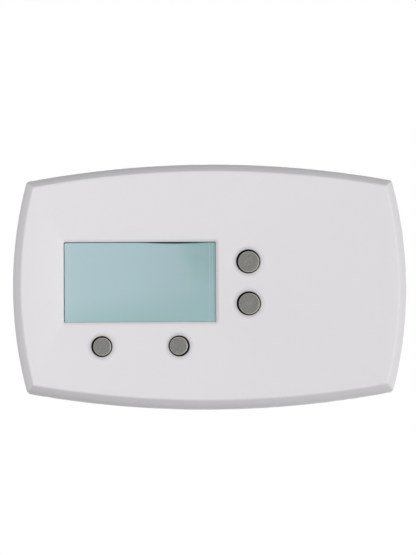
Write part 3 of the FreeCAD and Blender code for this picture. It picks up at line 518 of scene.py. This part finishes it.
def face_depth(x, z):
    """The depth of the dished face, with a faint groove round each button hole."""
    depth = FACE_DEPTH - DISH_DROP * (1 - dish_share(x, z)) ** 2
    for hole_x, hole_z, radius in HOLES.values():
        beyond = math.hypot(x - hole_x, z - hole_z) - radius - BUTTON_GAP
        depth -= HALO_DEPTH * math.exp(-(((beyond - HALO_PLACE) / HALO_WIDTH) ** 2))
    return depth


def face_points(inset):
    """Points inside the face: a grid, and rings round the holes and the window."""
    points = []
    for x, z, radius in HOLES.values():
        for step in HOLE_STEPS:
            points += [p[:2] for p in circle(x, z, radius + BUTTON_GAP + step, 0, 72)]
    for step in WINDOW_STEPS:
        width, height = 2 * (INNER_X + step), 2 * (INNER_Z + step)
        corner = WINDOW_STEP_CORNER + step
        ring = rectangle(WINDOW_X, WINDOW_Z, width, height, corner, 0, (50, 28), 8)
        points += [p[:2] for p in ring if clear_of_holes(p[0], p[1], RING_FROM_HOLE)]
    columns, rows = int(HALF_WIDTH / GRID), int(HALF_HEIGHT / GRID)
    for i in range(-columns, columns + 1):
        for j in range(-rows, rows + 1):
            x, z = i * GRID + GRID_STAGGER * (j % 2), j * GRID
            on_face = in_outline(x, z, inset + GRID_FROM_EDGE) and clear_of_holes(x, z, GRID_FROM_HOLE)
            if on_face and clear_of_window(x, z, GRID_FROM_WINDOW):
                points.append((x, z))
    return points


def in_outline(x, z, inset):
    top = math.hypot(x, abs(z) + TOP_RADIUS - HALF_HEIGHT) < TOP_RADIUS - inset
    return top and math.hypot(abs(x) + SIDE_RADIUS - HALF_WIDTH, z) < SIDE_RADIUS - inset


def clear_of_window(x, z, margin=0.0, inward=0.0):
    """Whether a point lies outside the window's opening, corners rounded, grown by a margin."""
    corner = WINDOW_CORNER + WINDOW_CHAMFER - inward
    across = abs(x - WINDOW_X) - INNER_X + inward + corner
    up = abs(z - WINDOW_Z) - INNER_Z + inward + corner
    return math.hypot(max(across, 0), max(up, 0)) + min(max(across, up), 0) > corner + margin


def clear_of_holes(x, z, margin):
    return all(math.hypot(x - hx, z - hz) > r + BUTTON_GAP + margin for hx, hz, r in HOLES.values())


def cover_section():
    """The cover's outer section as (inset, depth), from the parting line to the start of the face."""
    section = [(2 * RIM_ROUND, PARTING_DEPTH, 0), (0, PARTING_DEPTH, RIM_ROUND)]
    section.append((COVER_DRAFT, BEVEL_DEPTH, BEVEL_ROUND))
    section.append((FACE_INSET, FACE_DEPTH, FACE_ROUND))
    section.append((FACE_INSET + 2 * FACE_ROUND, FACE_DEPTH, 0))
    return rounded(section, 7)[:-1]


def window_edge():
    """The rounded, chamfered edge of the window's opening as (distance inwards, depth)."""
    floor = FACE_DEPTH - DISH_DROP
    edge = [(-1, floor, 0), (0, floor, WINDOW_EDGE_ROUND)]
    edge.append((WINDOW_CHAMFER, floor - WINDOW_CHAMFER, CHAMFER_ROUND))
    edge.append((WINDOW_CHAMFER, CEILING_DEPTH, 0))
    return rounded(edge, 3)[1:]


def hole_rings(x, z, radius):
    """Rings of a button hole, from its rounded mouth in the face to the ceiling."""
    rings = []
    for step in range(HOLE_ROUND_STEPS + 1):
        angle = math.pi / 2 * step / HOLE_ROUND_STEPS
        beyond = BUTTON_GAP + HOLE_ROUND * (1 - math.sin(angle))
        drop = HOLE_ROUND * (1 - math.cos(angle))
        rings.append(circle(x, z, radius + beyond, lambda px, pz: face_depth(px, pz) - drop))
    return rings + [circle(x, z, radius + BUTTON_GAP, CEILING_DEPTH)]


def front_cover(material):
    skin = Skin()
    section = cover_section()
    outer = [skin.loop(outline(inset, depth)) for inset, depth in section]
    skin.rings(outer)

    edge = window_edge()
    window = []
    for inward, depth in edge:
        width, height = 2 * (INNER_X - inward), 2 * (INNER_Z - inward)
        corner = WINDOW_CORNER + WINDOW_CHAMFER - inward
        window.append(skin.loop(rectangle(WINDOW_X, WINDOW_Z, width, height, corner, depth)))
    skin.rings(window)

    holes = []
    for hole in HOLES.values():
        holes.append([skin.loop(ring) for ring in hole_rings(*hole)])
        skin.rings(holes[-1])

    def on_face(x, z):
        return clear_of_window(x, z, inward=edge[0][0]) and clear_of_holes(x, z, HOLE_ROUND)

    rim_rings = [window[0]] + [rings[0] for rings in holes]
    skin.fill(outer[-1], rim_rings, face_points(section[-1][0]), on_face, face_depth)

    ceiling = skin.loop(outline(CEILING_INSET, CEILING_DEPTH))
    inner = [ceiling]
    inner.append(skin.loop(outline(COVER_WALL, INNER_BEVEL_DEPTH)))
    inner.append(skin.loop(outline(COVER_WALL, PARTING_DEPTH)))
    inner.append(outer[0])
    skin.rings(inner)

    def on_ceiling(x, z):
        return clear_of_window(x, z, inward=WINDOW_CHAMFER) and clear_of_holes(x, z, 0)

    skin.fill(ceiling, [window[-1]] + [rings[-1] for rings in holes], [], on_ceiling, None)
    cover_posts(skin)
    piece = skin.piece("cover_shell", material, "module", sharp=38)
    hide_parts("front_cover")


def cover_posts(skin):
    """The window stakes inside the cover, and the screw bosses and board posts with pilot holes."""
    top = CEILING_DEPTH + POST_OVERLAP
    posts = []
    for sx in (-1, 1):
        for sz in (-1, 1):
            posts.append((sx * BOSS_X, sz * BOSS_Z, *BOSS))
            posts.append((WINDOW_X + sx * STAKE_X, WINDOW_Z + sz * STAKE_Z, *STAKE))
    posts += [(x, z, *BOARD_POST) for x in BOARD_POST_X for z in BOARD_POST_Z]
    for x, z, radius, pilot, foot, pilot_end in posts:
        profile = [(0, top), (radius, top)]
        profile += [(radius, foot + POST_CHAMFER), (radius - POST_CHAMFER, foot)]
        if pilot:
            profile += [(pilot, foot), (pilot, pilot_end)]
        lathe(skin, (x, z), profile + [(0, profile[-1][1])], 32)


# ---------------------------------------------------------------- buttons


def cap_rings(key):
    """Rings of a button from its foot to the start of its flat top, with the cap's own centre."""
    x, z, radius = HOLES[key]
    dx, dz = CAP_OFFSETS[key]
    front = extent(f"{key}_button")[5]
    ledge = radius + FLANGE_LEDGE
    rings = [(FOOT_RADIUS - FOOT_CHAMFER, SEAT_TOP), (FOOT_RADIUS, SEAT_TOP + FOOT_CHAMFER)]
    rings += [(FOOT_RADIUS, FLANGE_BACK), (ledge - FLANGE_ROUND, FLANGE_BACK)]
    rings += [(ledge, FLANGE_BACK + FLANGE_ROUND), (ledge, FLANGE_FRONT - FLANGE_ROUND)]
    rings += [(ledge - FLANGE_ROUND, FLANGE_FRONT)]
    made = [circle(x, z, r, depth) for r, depth in rings]
    made.append(circle(x + dx, z + dz, radius, FLANGE_FRONT))
    edge = rounded([(radius, front - CAP_SIDE, 0), (radius, front, CAP_ROUND), (0, front, 0)], 8)
    lean_x, lean_z = CAP_LEAN
    for r, depth in edge[1:-1]:
        share = (radius - r) / CAP_ROUND
        made.append(circle(x + dx + lean_x * share, z + dz + lean_z * share, r, depth))
    top = (x + dx + lean_x, z + dz + lean_z)
    made.append(circle(*top, radius - TOP_INSET, front - TOP_RIM_DROP))
    return made, top, radius, front


def arrow(centre, way, size, depth):
    """A small triangle with soft corners that points up or down."""
    reach, foot = ARROW_REACH * size, -ARROW_FOOT * size
    corners = [(0, reach), (reach, foot), (-reach, foot)]
    ring = []
    for i in (1, 2, 0):
        turn = [(*corners[i - 1], 0), (*corners[i], ARROW_CORNER * size), (*corners[(i + 1) % 3], 0)]
        ring += rounded(turn, 4)[1:-1]
    return [(centre[0] + a, centre[1] + way * b, depth) for a, b in ring]


def top_depth(centre, radius, front):
    """A cap's top is very slightly dished."""

    def depth(x, z):
        share = math.hypot(x - centre[0], z - centre[1]) / (radius - TOP_INSET)
        return front - TOP_RIM_DROP - TOP_DISH * (1 - min(share, 1) ** 2)

    return depth


def button(key, material):
    skin = Skin()
    rings, centre, radius, front = cap_rings(key)
    loops = [skin.loop(ring) for ring in rings]
    skin.rings(loops)
    skin.cap(loops[0])
    rim = loops[-1]
    depth = top_depth(centre, radius, front)
    extra = [centre]
    for share in (0.2, 0.4, 0.6, 0.8):
        extra += [p[:2] for p in circle(*centre, share * (radius - TOP_INSET), 0, 36)]
    holes = []
    marked = {"up": 1, "down": -1}.get(key)
    if marked:
        loops = []
        for inward, lift in ARROW_RINGS:
            ring = arrow(centre, marked, ARROW_SIZE - inward, 0)
            loops.append(skin.loop([(a, b, depth(a, b) + lift) for a, b, _ in ring]))
        skin.rings(loops)
        skin.cap(loops[-1])
        holes = [loops[0]]
        around = arrow(centre, marked, ARROW_SIZE + ARROW_MARGIN, 0)
        extra = [p for p in extra if not inside_ring(around, *p)]

    def outside_mark(x, z):
        return not marked or not inside_ring(arrow(centre, marked, ARROW_SIZE, 0), x, z)

    skin.fill(rim, holes, extra, outside_mark, depth)
    piece = skin.piece(f"{key}_cap", material, f"{key}_key", sharp=50)
    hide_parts(f"{key}_button")


def dome(key, material):
    """The thin silicone skirt under a button, in its unpressed shape."""
    x, z, _ = HOLES[key]
    low_x, high_x, _, _, back, front = extent(f"{key}_dome_spring")
    base = (high_x - low_x) / 2
    skin = Skin()
    outer, inner = [], []
    for step in range(DOME_STEPS + 1):
        share = step / DOME_STEPS
        bulge = DOME_BULGE * math.sin(math.pi * share)
        radius = base + (DOME_TIP - base) * share
        depth = back + (front - back) * share
        outer.append(skin.loop(circle(x, z, radius + bulge, depth, 48)))
        inner.append(skin.loop(circle(x, z, radius - DOME_WALL + bulge, depth, 48)))
    skin.rings(outer + inner[::-1] + outer[:1])
    piece = skin.piece(f"{key}_dome", material, "module")
    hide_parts(f"{key}_dome_spring")
    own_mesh(piece)


# ---------------------------------------------------------------- window

# The lens sits a little to the lower right in its opening, which it fills up to a gap all round
LENS_SHIFT = (0.11, -0.11)
LENS_GAP = 0.15
LENS_FLANGE_CORNER = 1.5
LENS_FLANGE_ROUND = 0.15
LENS_SHELF_DROP = 0.3
# The pad's edge as (smaller by, corner's radius, drop from the front), from its side to its flat
LENS_EDGE = ((0, WINDOW_CORNER, 0.2), (0.12, 0.44, 0.06), (0.4, 0.3, 0), (0.7, 0.15, 0))
# Sheet lines this far in from the lens's sides, and the bowed shadow under its top edge
LENS_LINES = (1.2, 2.3)
BOW_CENTRE = -13.0
BOW_REACH = 12.0
BOW_DROP = 0.5
# The near-black painted shade on the pad's rounded edge, in place of the shadowed gap round the lens
LENS_RIM_SHADE = (0.012, 0.012, 0.018)


def window_lens(material):
    skin = Skin()
    low_x, high_x, low_z, high_z, back, front = LENS
    shelf = front - LENS_SHELF_DROP
    bevel = LENS_FLANGE_ROUND
    flange = (high_x - low_x, high_z - low_z, LENS_FLANGE_CORNER)
    small = (flange[0] - 2 * bevel, flange[1] - 2 * bevel, LENS_FLANGE_CORNER - bevel)
    rings = [(*small, back), (*flange, back + bevel), (*flange, shelf - bevel), (*small, shelf)]
    width, height = WINDOW_WIDTH - 2 * LENS_GAP, WINDOW_HEIGHT - 2 * LENS_GAP
    rings.append((width, height, WINDOW_CORNER, shelf))
    for smaller, corner, drop in LENS_EDGE:
        rings.append((width - smaller, height - smaller, corner, front - drop))
    shift_x, shift_z = LENS_SHIFT
    loops = [skin.loop(rectangle(WINDOW_X + shift_x, WINDOW_Z + shift_z, *ring)) for ring in rings]
    skin.rings(loops)
    skin.cap(loops[0])
    skin.cap(loops[-1])
    piece = skin.piece("window_lens", material, "module", sharp=15)
    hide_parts("display_window")


# ---------------------------------------------------------------- batteries and springs


# A cell's section, as distances in from its side and in from its flat end or its shoulder
CELL_FOOT = ((2.0, 0), (1.9, 0.15), (0.9, 0.15), (0.8, 0), (0.3, 0.05), (0, 0.45))
CELL_TOP = ((0, 0.6), (0.12, 0.25), (0.6, 0), (1.0, 0.1), (1.15, 0.3))
NUB_HEIGHT = 1.0
NUB_RADIUS = 2.75
NUB_FOOT_RADIUS = 3.3
NUB_ROUND = 0.25
NUB_STEP = 0.1
SPRING_WIRE = 0.32
SPRING_RADII = (4.0, 2.4)
SPRING_TURNS = 5.5
CLOSED_TURNS = 0.75


def helix(centre, foot, tip, radii, turns, steps=28):
    """Points of a coil along Z that tapers between two radii, flat at both ends."""
    points = []
    total = int(turns * steps)
    for i in range(total + 1):
        share = i / total
        lift = min(max((share * turns - CLOSED_TURNS) / (turns - 2 * CLOSED_TURNS), 0), 1)
        radius = radii[0] + (radii[1] - radii[0]) * share
        angle = 2 * math.pi * share * turns
        x, depth = centre[0] + radius * math.cos(angle), centre[1] + radius * math.sin(angle)
        points.append(Vector((x, foot + (tip - foot) * lift, depth)))
    return points


def tube(skin, points, radius, sides=10):
    """A round wire along points, closed at both ends."""
    loops = []
    side = Vector((0, 1, 0))
    for i, point in enumerate(points):
        ahead = (points[min(i + 1, len(points) - 1)] - points[max(i - 1, 0)]).normalized()
        side = (side - ahead * side.dot(ahead)).normalized()
        other = ahead.cross(side)
        ring = []
        for turn in range(sides):
            angle = 2 * math.pi * turn / sides
            ring.append(tuple(point + (side * math.cos(angle) + other * math.sin(angle)) * radius))
        loops.append(skin.loop(ring))
    skin.rings(loops)
    skin.cap(loops[0])
    skin.cap(loops[-1])


def cell_ends(side):
    """A cell's axis as (x, depth), its flat end's height, its tip's height and its radius."""
    x0, x1, z0, z1, back, front = extent(f"battery_{side}")
    flat, tip = (z0, z1) if side == "left" else (z1, z0)
    return ((x0 + x1) / 2, (back + front) / 2), flat, tip, (x1 - x0) / 2


def battery(side, material):
    centre, flat, tip, radius = cell_ends(side)
    way = 1 if tip > flat else -1
    shoulder = tip - way * NUB_HEIGHT
    profile = [(0, flat)] + [(radius - inward, flat + way * rise) for inward, rise in CELL_FOOT]
    profile += [(radius - inward, shoulder - way * drop) for inward, drop in CELL_TOP]
    profile += [(NUB_FOOT_RADIUS, profile[-1][1]), (NUB_RADIUS, shoulder - way * NUB_STEP)]
    profile += [(NUB_RADIUS, tip - way * NUB_ROUND), (NUB_RADIUS - NUB_ROUND, tip), (0, tip)]
    skin = Skin()
    lathe(skin, centre, profile, 72, "height")
    piece = skin.piece(f"cell_{side}", material, "module", sharp=35)
    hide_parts(f"battery_{side}")


def springs(material):
    """A coned coil at each cell's flat end."""
    skin = Skin()
    z0, z1 = extent("battery_springs")[2:4]
    for side in ("left", "right"):
        centre, flat, tip, _ = cell_ends(side)
        way = 1 if tip > flat else -1
        foot = z0 if way > 0 else z1
        start, end = foot + way * SPRING_WIRE, flat - way * SPRING_WIRE
        tube(skin, helix(centre, start, end, SPRING_RADII, SPRING_TURNS), SPRING_WIRE)
    piece = skin.piece("cell_springs", material, "module")
    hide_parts("battery_springs")


# ---------------------------------------------------------------- the looks of each material

# Painted shade round the button holes is full to one distance from the edge, and gone at the other
HOLE_SHADE_NEAR = 0.35
HOLE_SHADE_FAR = 1.5
HOLE_SHADE_COLOUR = (0.605, 0.595, 0.61)
# Painted shadow darkens a button's sides between these depths, inside its hole
HOLE_SHADOW_FROM = 35.3
HOLE_SHADOW_TO = 34.9
# How far the paler part of a cell's wrap reaches from its tip
CELL_SHOULDER = 9.0
# The lens's opacity, its sheet lines, and how softly the shadow under its top edge fades
LENS_ALPHA = 0.72
LINE_MIX = 0.34
LINE_HALF_WIDTH = 0.16
LINE_CORE = 0.04
BOW_SOFTNESS = 0.5


def cover_plastic():
    """Off-white plastic, with a faint ring of painted shade round each button hole."""
    look = moulded(
        "cover_plastic", (0.78, 0.765, 0.785), 0.58, 0.006, 30.0, 0.22, 0.010, Specular_IOR_Level=0.3
    )
    flat = look.stretched((1, 0, 1))
    # Painted shade: the colour darkens in a faint ring round each button hole
    hole_shade = 0.0
    for x, z, radius in HOLES.values():
        inputs = [(0, flat), (1, (x * MM, 0, z * MM))]
        reach = look.add("ShaderNodeVectorMath", inputs, operation="DISTANCE").outputs["Value"]
        edge = radius + BUTTON_GAP
        near = look.between(reach, (edge + HOLE_SHADE_NEAR) * MM, (edge + HOLE_SHADE_FAR) * MM, 1.0, 0.0)
        hole_shade = look.math("MAXIMUM", near, hole_shade)
    return look.colour(look.mix(hole_shade, look.tint(), HOLE_SHADE_COLOUR)).material


def button_plastic():
    """Grey moulded tops with a painted highlight on the rounded rim; painted shade darkens the sides and
    the flange under the cover.
    """
    look = Look("button_plastic", 0.48)
    mottle = look.noise(0.7, 3.0)
    top = look.ramp(mottle, [(0.3, (0.172, 0.172, 0.163)), (0.7, (0.238, 0.238, 0.226))])
    facing = look.add("ShaderNodeSeparateXYZ", [("Vector", look.coords.outputs["Normal"])]).outputs["Y"]
    # Painted highlight: the rounded rim, found by its normal, is lighter than the top
    sloped = look.between(facing, -0.985, -0.88)
    top_with_rim_highlight = look.mix(sloped, top, (0.46, 0.44, 0.38))
    # Painted shade: the button's steep sides turn near black
    side_shade_mask = look.between(facing, -0.62, -0.38)
    body = look.mix(side_shade_mask, top_with_rim_highlight, (0.012, 0.012, 0.012))
    # Painted shadow: deeper than these depths inside the hole, the button turns near black
    hole_shadow = look.between(look.axis("Y"), -HOLE_SHADOW_FROM * MM, -HOLE_SHADOW_TO * MM)
    look.colour(look.mix(hole_shadow, body, (0.010, 0.010, 0.010)))
    matt = look.between(mottle, 0.3, 0.7, 0.43, 0.55)
    polish = look.between(sloped, 0.0, 1.0, 0.0, 0.17)
    look.links.new(look.math("SUBTRACT", matt, polish), look.shader.inputs["Roughness"])
    look.bump(look.noise(0.15, 2.0), 0.5, 0.02)
    return look.material


def display_tone(look, strength=1.0):
    """The blank display's teal: paler at the left, deeper at the right, the foot and one patch."""
    across = look.between(look.axis("X"), (WINDOW_X - 28) * MM, (WINDOW_X + 28) * MM)
    left, centre, right = (0.425, 0.570, 0.598), (0.400, 0.548, 0.580), (0.325, 0.478, 0.503)
    stops = [(0.0, left), (0.45, centre), (0.80, shade(centre, 0.92)), (1.0, right)]
    tone = look.ramp(across, [(place, shade(colour, strength)) for place, colour in stops])
    up = look.between(look.axis("Z"), (WINDOW_Z - 2) * MM, (WINDOW_Z + 14) * MM)
    beside = look.between(look.axis("X"), (WINDOW_X + 13) * MM, (WINDOW_X + 21) * MM)
    cloud = look.between(look.noise(11.0, 1.5), 0.30, 0.62, 0.35, 1.0)
    patch = look.math("MULTIPLY", look.math("MULTIPLY", cloud, up), beside)
    tone = look.mix(patch, tone, shade((0.255, 0.415, 0.405), strength))
    slant = look.math("SUBTRACT", look.axis("Z"), look.math("MULTIPLY", look.axis("X"), 0.18))
    foot = look.between(slant, (WINDOW_Z + 2) * MM, (WINDOW_Z - 11) * MM, 0.0, 0.9)
    return look.mix(foot, tone, shade((0.320, 0.480, 0.495), strength))


def lens_plastic():
    """The clear lens, with the faint sheet lines near its sides, a painted shadow under its top edge and
    painted shade on its rounded edge.
    """
    look = Look("clear_window", 0.14, Alpha=LENS_ALPHA, IOR=1.49)
    tone = display_tone(look, 1.47)
    reach = look.math("ABSOLUTE", look.math("SUBTRACT", look.axis("X"), WINDOW_X * MM))
    for place in LENS_LINES:
        gap = look.math("ABSOLUTE", look.math("SUBTRACT", reach, (WINDOW_WIDTH / 2 - place) * MM))
        line = look.between(gap, LINE_HALF_WIDTH * MM, LINE_CORE * MM, 0.0, LINE_MIX)
        tone = look.mix(line, tone, (0.95, 0.90, 0.88))
    aside = look.math("SUBTRACT", look.axis("X"), BOW_CENTRE * MM)
    bow = look.math("MULTIPLY", aside, 1 / (BOW_REACH * MM))
    lift = look.math("MULTIPLY", look.math("MULTIPLY", bow, bow), BOW_DROP * MM)
    edge = look.math("SUBTRACT", look.axis("Z"), lift)
    top = WINDOW_Z + WINDOW_HEIGHT / 2
    shadow = look.between(edge, (top - BOW_DROP - BOW_SOFTNESS) * MM, (top - BOW_DROP) * MM)
    tone = look.mix(shadow, tone, (0.030, 0.120, 0.100))
    # Painted shade: the pad's rounded edge turns near black and opaque
    rim_shade = look.between(look.axis("Y"), -(LENS[5] - 0.16) * MM, -(LENS[5] - 0.22) * MM)
    look.colour(look.mix(rim_shade, tone, LENS_RIM_SHADE))
    look.links.new(look.between(rim_shade, 0.0, 1.0, LENS_ALPHA, 1.0), look.shader.inputs["Alpha"])
    look.rough(look.noise(8.0, 3.0), 0.10, 0.18)
    look.material.surface_render_method = "BLENDED"
    return look.material


def display_film():
    look = Look("display_film", 0.35)
    look.colour(display_tone(look, 1.12))
    look.rough(look.noise(6.0, 3.0), 0.3, 0.4)
    look.bump(look.noise(0.3, 2.0), 0.2, 0.004)
    return look.material


def board_laminate():
    """Green solder mask over copper tracks, which show as slightly paler lines."""
    look = Look("board_laminate", 0.32, Coat_Weight=0.3, Coat_Roughness=0.15)
    tracks = look.add(
        "ShaderNodeTexBrick",
        [("Vector", look.place), ("Scale", 90.0), ("Mortar Size", 0.03)],
        offset=0.37,
        squash=0.6,
    ).outputs["Fac"]
    weave = look.noise(0.7, 2.0, (1, 1, 2.5))
    mask = look.ramp(weave, [(0.3, (0.012, 0.115, 0.045)), (0.7, (0.018, 0.150, 0.060))])
    look.colour(look.mix(tracks, mask, (0.03, 0.20, 0.075)))
    look.bump(tracks, 0.5, 0.03)
    look.bump(weave, 0.2, 0.01)
    return look.material


def cell_wrap():
    """A plain slate film with a paler shoulder at the positive end, and bare steel at both ends."""
    look = Look("cell_wrap", 0.28, Coat_Weight=0.4, Coat_Roughness=0.1)
    low, high = extent("battery_left")[2:4]
    between_cells = (cell_ends("left")[0][0] + cell_ends("right")[0][0]) / 2
    way = look.math("SIGN", look.math("SUBTRACT", between_cells * MM, look.axis("X")))
    height = look.math("MULTIPLY", look.math("SUBTRACT", look.axis("Z"), (low + high) / 2 * MM), way)
    shoulder = look.math("GREATER_THAN", height, ((high - low) / 2 - CELL_SHOULDER) * MM)
    scuff = look.noise(1.2, 4.0, (1, 1, 0.2))
    film = look.ramp(scuff, [(0.3, (0.060, 0.085, 0.110)), (0.7, (0.085, 0.115, 0.145))])
    wrap = look.mix(shoulder, film, (0.42, 0.46, 0.46))
    facing = look.add("ShaderNodeSeparateXYZ", [("Vector", look.coords.outputs["Normal"])]).outputs["Z"]
    steel = look.between(look.math("ABSOLUTE", facing), 0.75, 0.9)
    look.colour(look.mix(steel, wrap, (0.62, 0.61, 0.59)))
    look.links.new(steel, look.shader.inputs["Metallic"])
    look.rough(scuff, 0.22, 0.36)
    look.bump(scuff, 0.15, 0.01)
    return look.material


def make_materials():
    """One material for each of the record's slots."""
    made = {
        "cover_plastic": cover_plastic(),
        "button_plastic": button_plastic(),
        "clear_window": lens_plastic(),
        "display_film": display_film(),
        "board_laminate": board_laminate(),
        "cell_wrap": cell_wrap(),
        "case_plastic": moulded(
            "case_plastic", (0.74, 0.725, 0.735), 0.5, 0.012, 25.0, 0.3, 0.02
        ).material,
        "frame_plastic": moulded("frame_plastic", (0.52, 0.52, 0.52), 0.5, 0.02).material,
        "terminal_plastic": moulded("terminal_plastic", (0.62, 0.63, 0.62), 0.45, 0.02, 12.0).material,
        "header_plastic": moulded("header_plastic", (0.025, 0.025, 0.027), 0.4, 0.2, 4.0).material,
        "chip_resin": moulded("chip_resin", (0.022, 0.022, 0.024), 0.42, 0.2, 2.0, 0.1).material,
        "sensor_resin": moulded("sensor_resin", (0.16, 0.045, 0.02), 0.25, 0.15, 1.0).material,
        "relay_plastic": moulded("relay_plastic", (0.02, 0.075, 0.26), 0.28, 0.08, 8.0).material,
        "led_resin": moulded("led_resin", (0.78, 0.70, 0.38), 0.25, 0.05, 1.0).material,
        "reflector_film": moulded("reflector_film", (0.80, 0.80, 0.80), 0.3, 0.02, 10.0).material,
        "light_guide": moulded("light_guide", (0.72, 0.80, 0.80), 0.2, 0.02, 10.0).material,
        "keypad_rubber": moulded("keypad_rubber", (0.40, 0.40, 0.385), 0.62, 0.05, 3.0, 0.2).material,
        "contact_rubber": moulded("contact_rubber", (0.018, 0.018, 0.018), 0.6, 0.2, 1.0).material,
        "capacitor_can": metal("capacitor_can", (0.60, 0.60, 0.63), 0.3, (1, 0.2, 1)).material,
        "crystal_can": metal("crystal_can", (0.72, 0.72, 0.74), 0.18).material,
        "contact_brass": metal("contact_brass", (0.80, 0.60, 0.28), 0.26, (0.2, 1, 1)).material,
        "plated_steel": metal("plated_steel", (0.62, 0.61, 0.58)).material,
        "nickel_plate": metal("nickel_plate", (0.70, 0.68, 0.64), 0.25, (1, 1, 0.2)).material,
    }
    glass = Look("display_glass", 0.05, Alpha=0.25, IOR=1.52)
    glass.colour(glass.ramp(glass.noise(15.0), [(0.3, (0.70, 0.82, 0.78)), (0.7, (0.76, 0.86, 0.82))]))
    glass.material.surface_render_method = "BLENDED"
    made["display_glass"] = glass.material
    return made


def dress_nodes(materials):
    """Gives every CAD node the material of its slot in the record."""
    for part in frame["record"]["subparts"]:
        mesh = NODES[part["node"]].data
        mesh.materials.clear()
        mesh.materials.append(materials[part["material_slot"]])


# ---------------------------------------------------------------- room


# Each light's name, place and size in metres, and power, then the world's light on the object
LIGHTS = (
    ("key_right", (2.6, -1.6, -0.5), 1.2, 124),
    ("fill_left", (-0.50, -0.50, 0.10), 0.3, 1.02),
    ("front_soft", (-0.30, -0.90, 0.35), 0.5, 1.47),
    ("back_soft", (0.30, 2.80, 0.20), 1.2, 45.0),
)
DOME_STRENGTH = 0.352
FLOOR_HALF = 3.0
FLOOR_LEVEL = -0.35
WASH_LIFT = 0.2
WASH_POWER = 47.0


def aim(thing, target):
    direction = Vector(target) - thing.location
    thing.rotation_euler = direction.to_track_quat("-Z", "Y").to_euler()


def softbox(name, place, size, power, target=(0, -0.02, 0)):
    """A square studio light that faces the thermostat, or another target."""
    lamp = bpy.data.lights.new(name, "AREA")
    lamp.size = size
    lamp.energy = power
    holder = bpy.data.objects.new(name, lamp)
    holder.location = place
    holder.visible_camera = False
    aim(holder, target)
    bpy.context.scene.collection.objects.link(holder)


def floor_paint():
    """Pale to the camera, but it throws less light up at the thermostat's underside."""
    look = moulded("floor_paint", (0.92, 0.92, 0.92), 0.8, 0.01, 300.0, 3.0, 0.05, Specular_IOR_Level=0.1)
    seen = look.add("ShaderNodeLightPath").outputs["Is Camera Ray"]
    return look.colour(look.mix(seen, (0.50, 0.50, 0.50), look.tint())).material


def room():
    world = bpy.data.worlds.new("studio")
    bpy.context.scene.world = world
    world.use_nodes = True
    nodes, links = world.node_tree.nodes, world.node_tree.links
    dome = nodes["Background"]
    dome.inputs["Color"].default_value = (1, 1, 1, 1)
    dome.inputs["Strength"].default_value = DOME_STRENGTH
    backdrop = nodes.new("ShaderNodeBackground")
    backdrop.inputs["Color"].default_value = (1, 1, 1, 1)
    backdrop.inputs["Strength"].default_value = 1.0
    choose = nodes.new("ShaderNodeMixShader")
    seen = nodes.new("ShaderNodeLightPath")
    links.new(seen.outputs["Is Camera Ray"], choose.inputs["Fac"])
    links.new(dome.outputs[0], choose.inputs[1])
    links.new(backdrop.outputs[0], choose.inputs[2])
    links.new(choose.outputs[0], nodes["World Output"].inputs["Surface"])

    for light in LIGHTS:
        softbox(*light)

    floor = bpy.data.meshes.new("floor")
    half, low = FLOOR_HALF, FLOOR_LEVEL
    softbox("floor_wash", (0, 0, low + WASH_LIFT), 2 * half, WASH_POWER, (0, 0, low))
    corners = [(-half, -half, low), (half, -half, low), (half, half, low), (-half, half, low)]
    floor.from_pydata(corners, [], [(0, 1, 2, 3)])
    floor.materials.append(floor_paint())
    ground = bpy.data.objects.new("floor", floor)
    bpy.context.scene.collection.objects.link(ground)


CAMERA_DISTANCE = 1.4
CAMERA_RISE = -2.5
CAMERA_TURN = -0.6
CAMERA_ROLL = -0.3
CAMERA_TARGET = (-0.0007, -0.030, 0.00318)
FRAME_HEIGHT = 0.2067


def camera():
    lens = bpy.data.cameras.new("camera")
    holder = bpy.data.objects.new("camera", lens)
    rise, turn = math.radians(CAMERA_RISE), math.radians(CAMERA_TURN)
    away = Vector((math.sin(turn) * math.cos(rise), -math.cos(turn) * math.cos(rise), math.sin(rise)))
    target = Vector(CAMERA_TARGET)
    holder.location = target + away * CAMERA_DISTANCE
    aim(holder, target)
    holder.rotation_euler.rotate_axis("Z", math.radians(CAMERA_ROLL))
    lens.sensor_fit = "VERTICAL"
    lens.sensor_height = 24.0
    lens.lens = lens.sensor_height * CAMERA_DISTANCE / FRAME_HEIGHT
    bpy.context.scene.collection.objects.link(holder)
    bpy.context.scene.camera = holder
    bpy.context.scene.view_settings.view_transform = "Standard"


def main():
    camera()
    room()
    materials = make_materials()
    dress_nodes(materials)
    front_cover(materials["cover_plastic"])
    window_lens(materials["clear_window"])
    for key in KEYS:
        button(key, materials["button_plastic"])
        dome(key, materials["keypad_rubber"])
    for side in ("left", "right"):
        battery(side, materials["cell_wrap"])
    springs(materials["nickel_plate"])


main()
